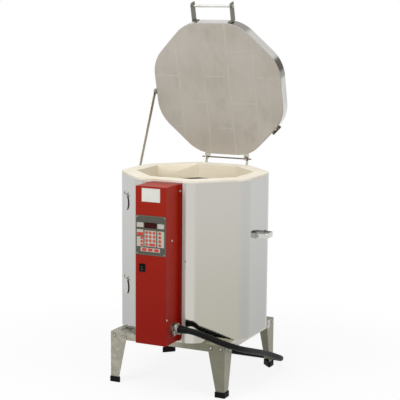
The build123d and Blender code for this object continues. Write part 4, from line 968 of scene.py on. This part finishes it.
def jacket_rivets(work):
    for place, heading in JACKET_RIVETS:
        rivet(work, point(*place), heading, JACKET_RIVET_R)


piece_from("jacket_seam", mesh_from("jacket_seam", seam_strip), "jacket", BODY)
piece_from("jacket_rivets", mesh_from("jacket_rivets", jacket_rivets), "dark screw", BODY)


# Stage: pale floor, studio world and lamps
FLOOR_HALF = 30.0
FLOOR_SHADE, FLOOR_SEEN = (0.55, 0.55, 0.54, 1), (0.96, 0.96, 0.96, 1)
SHADOW_KEPT, SHADOW_FADE = 0.14, (0.6, 1.6)
ROOM_LOW, ROOM_HIGH = (0.44, 0.44, 0.43, 1), (0.56, 0.57, 0.58, 1)
MIRRORED_DIM, MIRRORED_WHITE = (0.8, 0.8, 0.78, 1), (1.0, 1.0, 1.0, 1)

# Dark patches that the bright steel mirrors: direction, cosines of their soft edge, colour and strength
MIRRORED_PATCHES = (((0.409, 0.909, 0.06), (0.988, 0.993), (0.36, 0.36, 0.33, 1), 0.9),
                    ((0.462, 0.84, 0.285), (0.9805, 0.986), (0.11, 0.08, 0.055, 1), 0.95),
                    ((-0.084, 0.697, 0.712), (0.95, 0.966), (0.40, 0.39, 0.36, 1), 0.8))

# Lamps: place, what they face and size in metres, and power in watts
LAMPS = {"key_lamp": ((-1.3, -2.9, 2.9), (0, -0.1, 0.7), (1.6, 1.6), 46),
         "right_lamp": ((3.6, -1.2, 2.0), (0, 0, 0.7), (1.8, 2.2), 34),
         "top_lamp": ((0.2, -0.9, 3.6), (0, 0, 0.85), (2.0, 1.6), 24)}


def floor_finish():
    """Paper floor that keeps the kiln's shadow and looks white from the camera and in mirrors."""
    f = Finish("studio_floor")
    path = f.node("ShaderNodeLightPath")
    seen = path["Is Camera Ray"].larger(path["Is Glossy Ray"]).larger(path["Is Transmission Ray"])
    x, y, _ = f.axes(f.place())
    away = (x * x + y * y) ** 0.5
    clear = seen * (1 - SHADOW_KEPT + SHADOW_KEPT * f.ramp(away, *SHADOW_FADE))
    paper = f.node("ShaderNodeBsdfDiffuse", None, {"Color": f.blend(seen, FLOOR_SHADE, FLOOR_SEEN)})["BSDF"]
    glow = f.node("ShaderNodeEmission", None, {"Color": (1, 1, 1, 1), "Strength": 1.0})["Emission"]
    mixed = f.node("ShaderNodeMixShader", None, {0: clear, 1: paper, 2: glow})["Shader"]
    f.node("ShaderNodeOutputMaterial", None, {"Surface": mixed})
    return f.material


def lay_floor():
    mesh = bpy.data.meshes.new("studio_floor")
    corners = [(x * FLOOR_HALF, y * FLOOR_HALF, 0) for x, y in ((-1, -1), (1, -1), (1, 1), (-1, 1))]
    mesh.from_pydata(corners, [], [(0, 1, 2, 3)])
    mesh.materials.append(floor_finish())
    new_object("studio_floor", mesh)


def studio_world():
    """White to the camera, a plain soft room to the surfaces, and mottled white in mirrors."""
    world = bpy.data.worlds.new("studio")
    bpy.context.scene.world = world
    world.use_nodes = True
    f = Finish("studio", world.node_tree)
    path = f.node("ShaderNodeLightPath")
    way = f.node("ShaderNodeTexCoord")["Generated"]
    _, _, height = f.axes(way)
    wide = f.noise(2.6, 1.5, 0.5, (1.0, 1.0, 0.25), way)
    streak = (f.noise(14.0, place=way) - 0.5) * 0.02
    mirror = f.blend(f.ramp(wide, 0.35, 0.62), MIRRORED_DIM, MIRRORED_WHITE)
    for aim, edge, dark, share in MIRRORED_PATCHES:
        mirror = f.blend(f.ramp(f.dot(way, aim) + streak, *edge) * share, mirror, dark)
    room = f.blend(f.ramp(height, -0.3, 0.8), ROOM_LOW, ROOM_HIGH)
    colour = f.blend(path["Is Glossy Ray"], room, mirror)
    colour = f.blend(path["Is Camera Ray"].larger(path["Is Transmission Ray"]), colour, (1, 1, 1, 1))
    sky = f.node("ShaderNodeBackground", None, {"Color": colour, "Strength": 1.0})["Background"]
    f.node("ShaderNodeOutputWorld", None, {"Surface": sky})


def hang_lamps():
    for name, (place, target, size, power) in LAMPS.items():
        data = bpy.data.lights.new(name, "AREA")
        data.shape, data.size, data.size_y, data.energy = "RECTANGLE", *size, power
        lamp = new_object(name, data)
        lamp.location = place
        lamp.rotation_euler = (Vector(target) - Vector(place)).to_track_quat("-Z", "Y").to_euler()


lay_floor()
studio_world()
hang_lamps()
bpy.context.scene.view_settings.view_transform = "Standard"
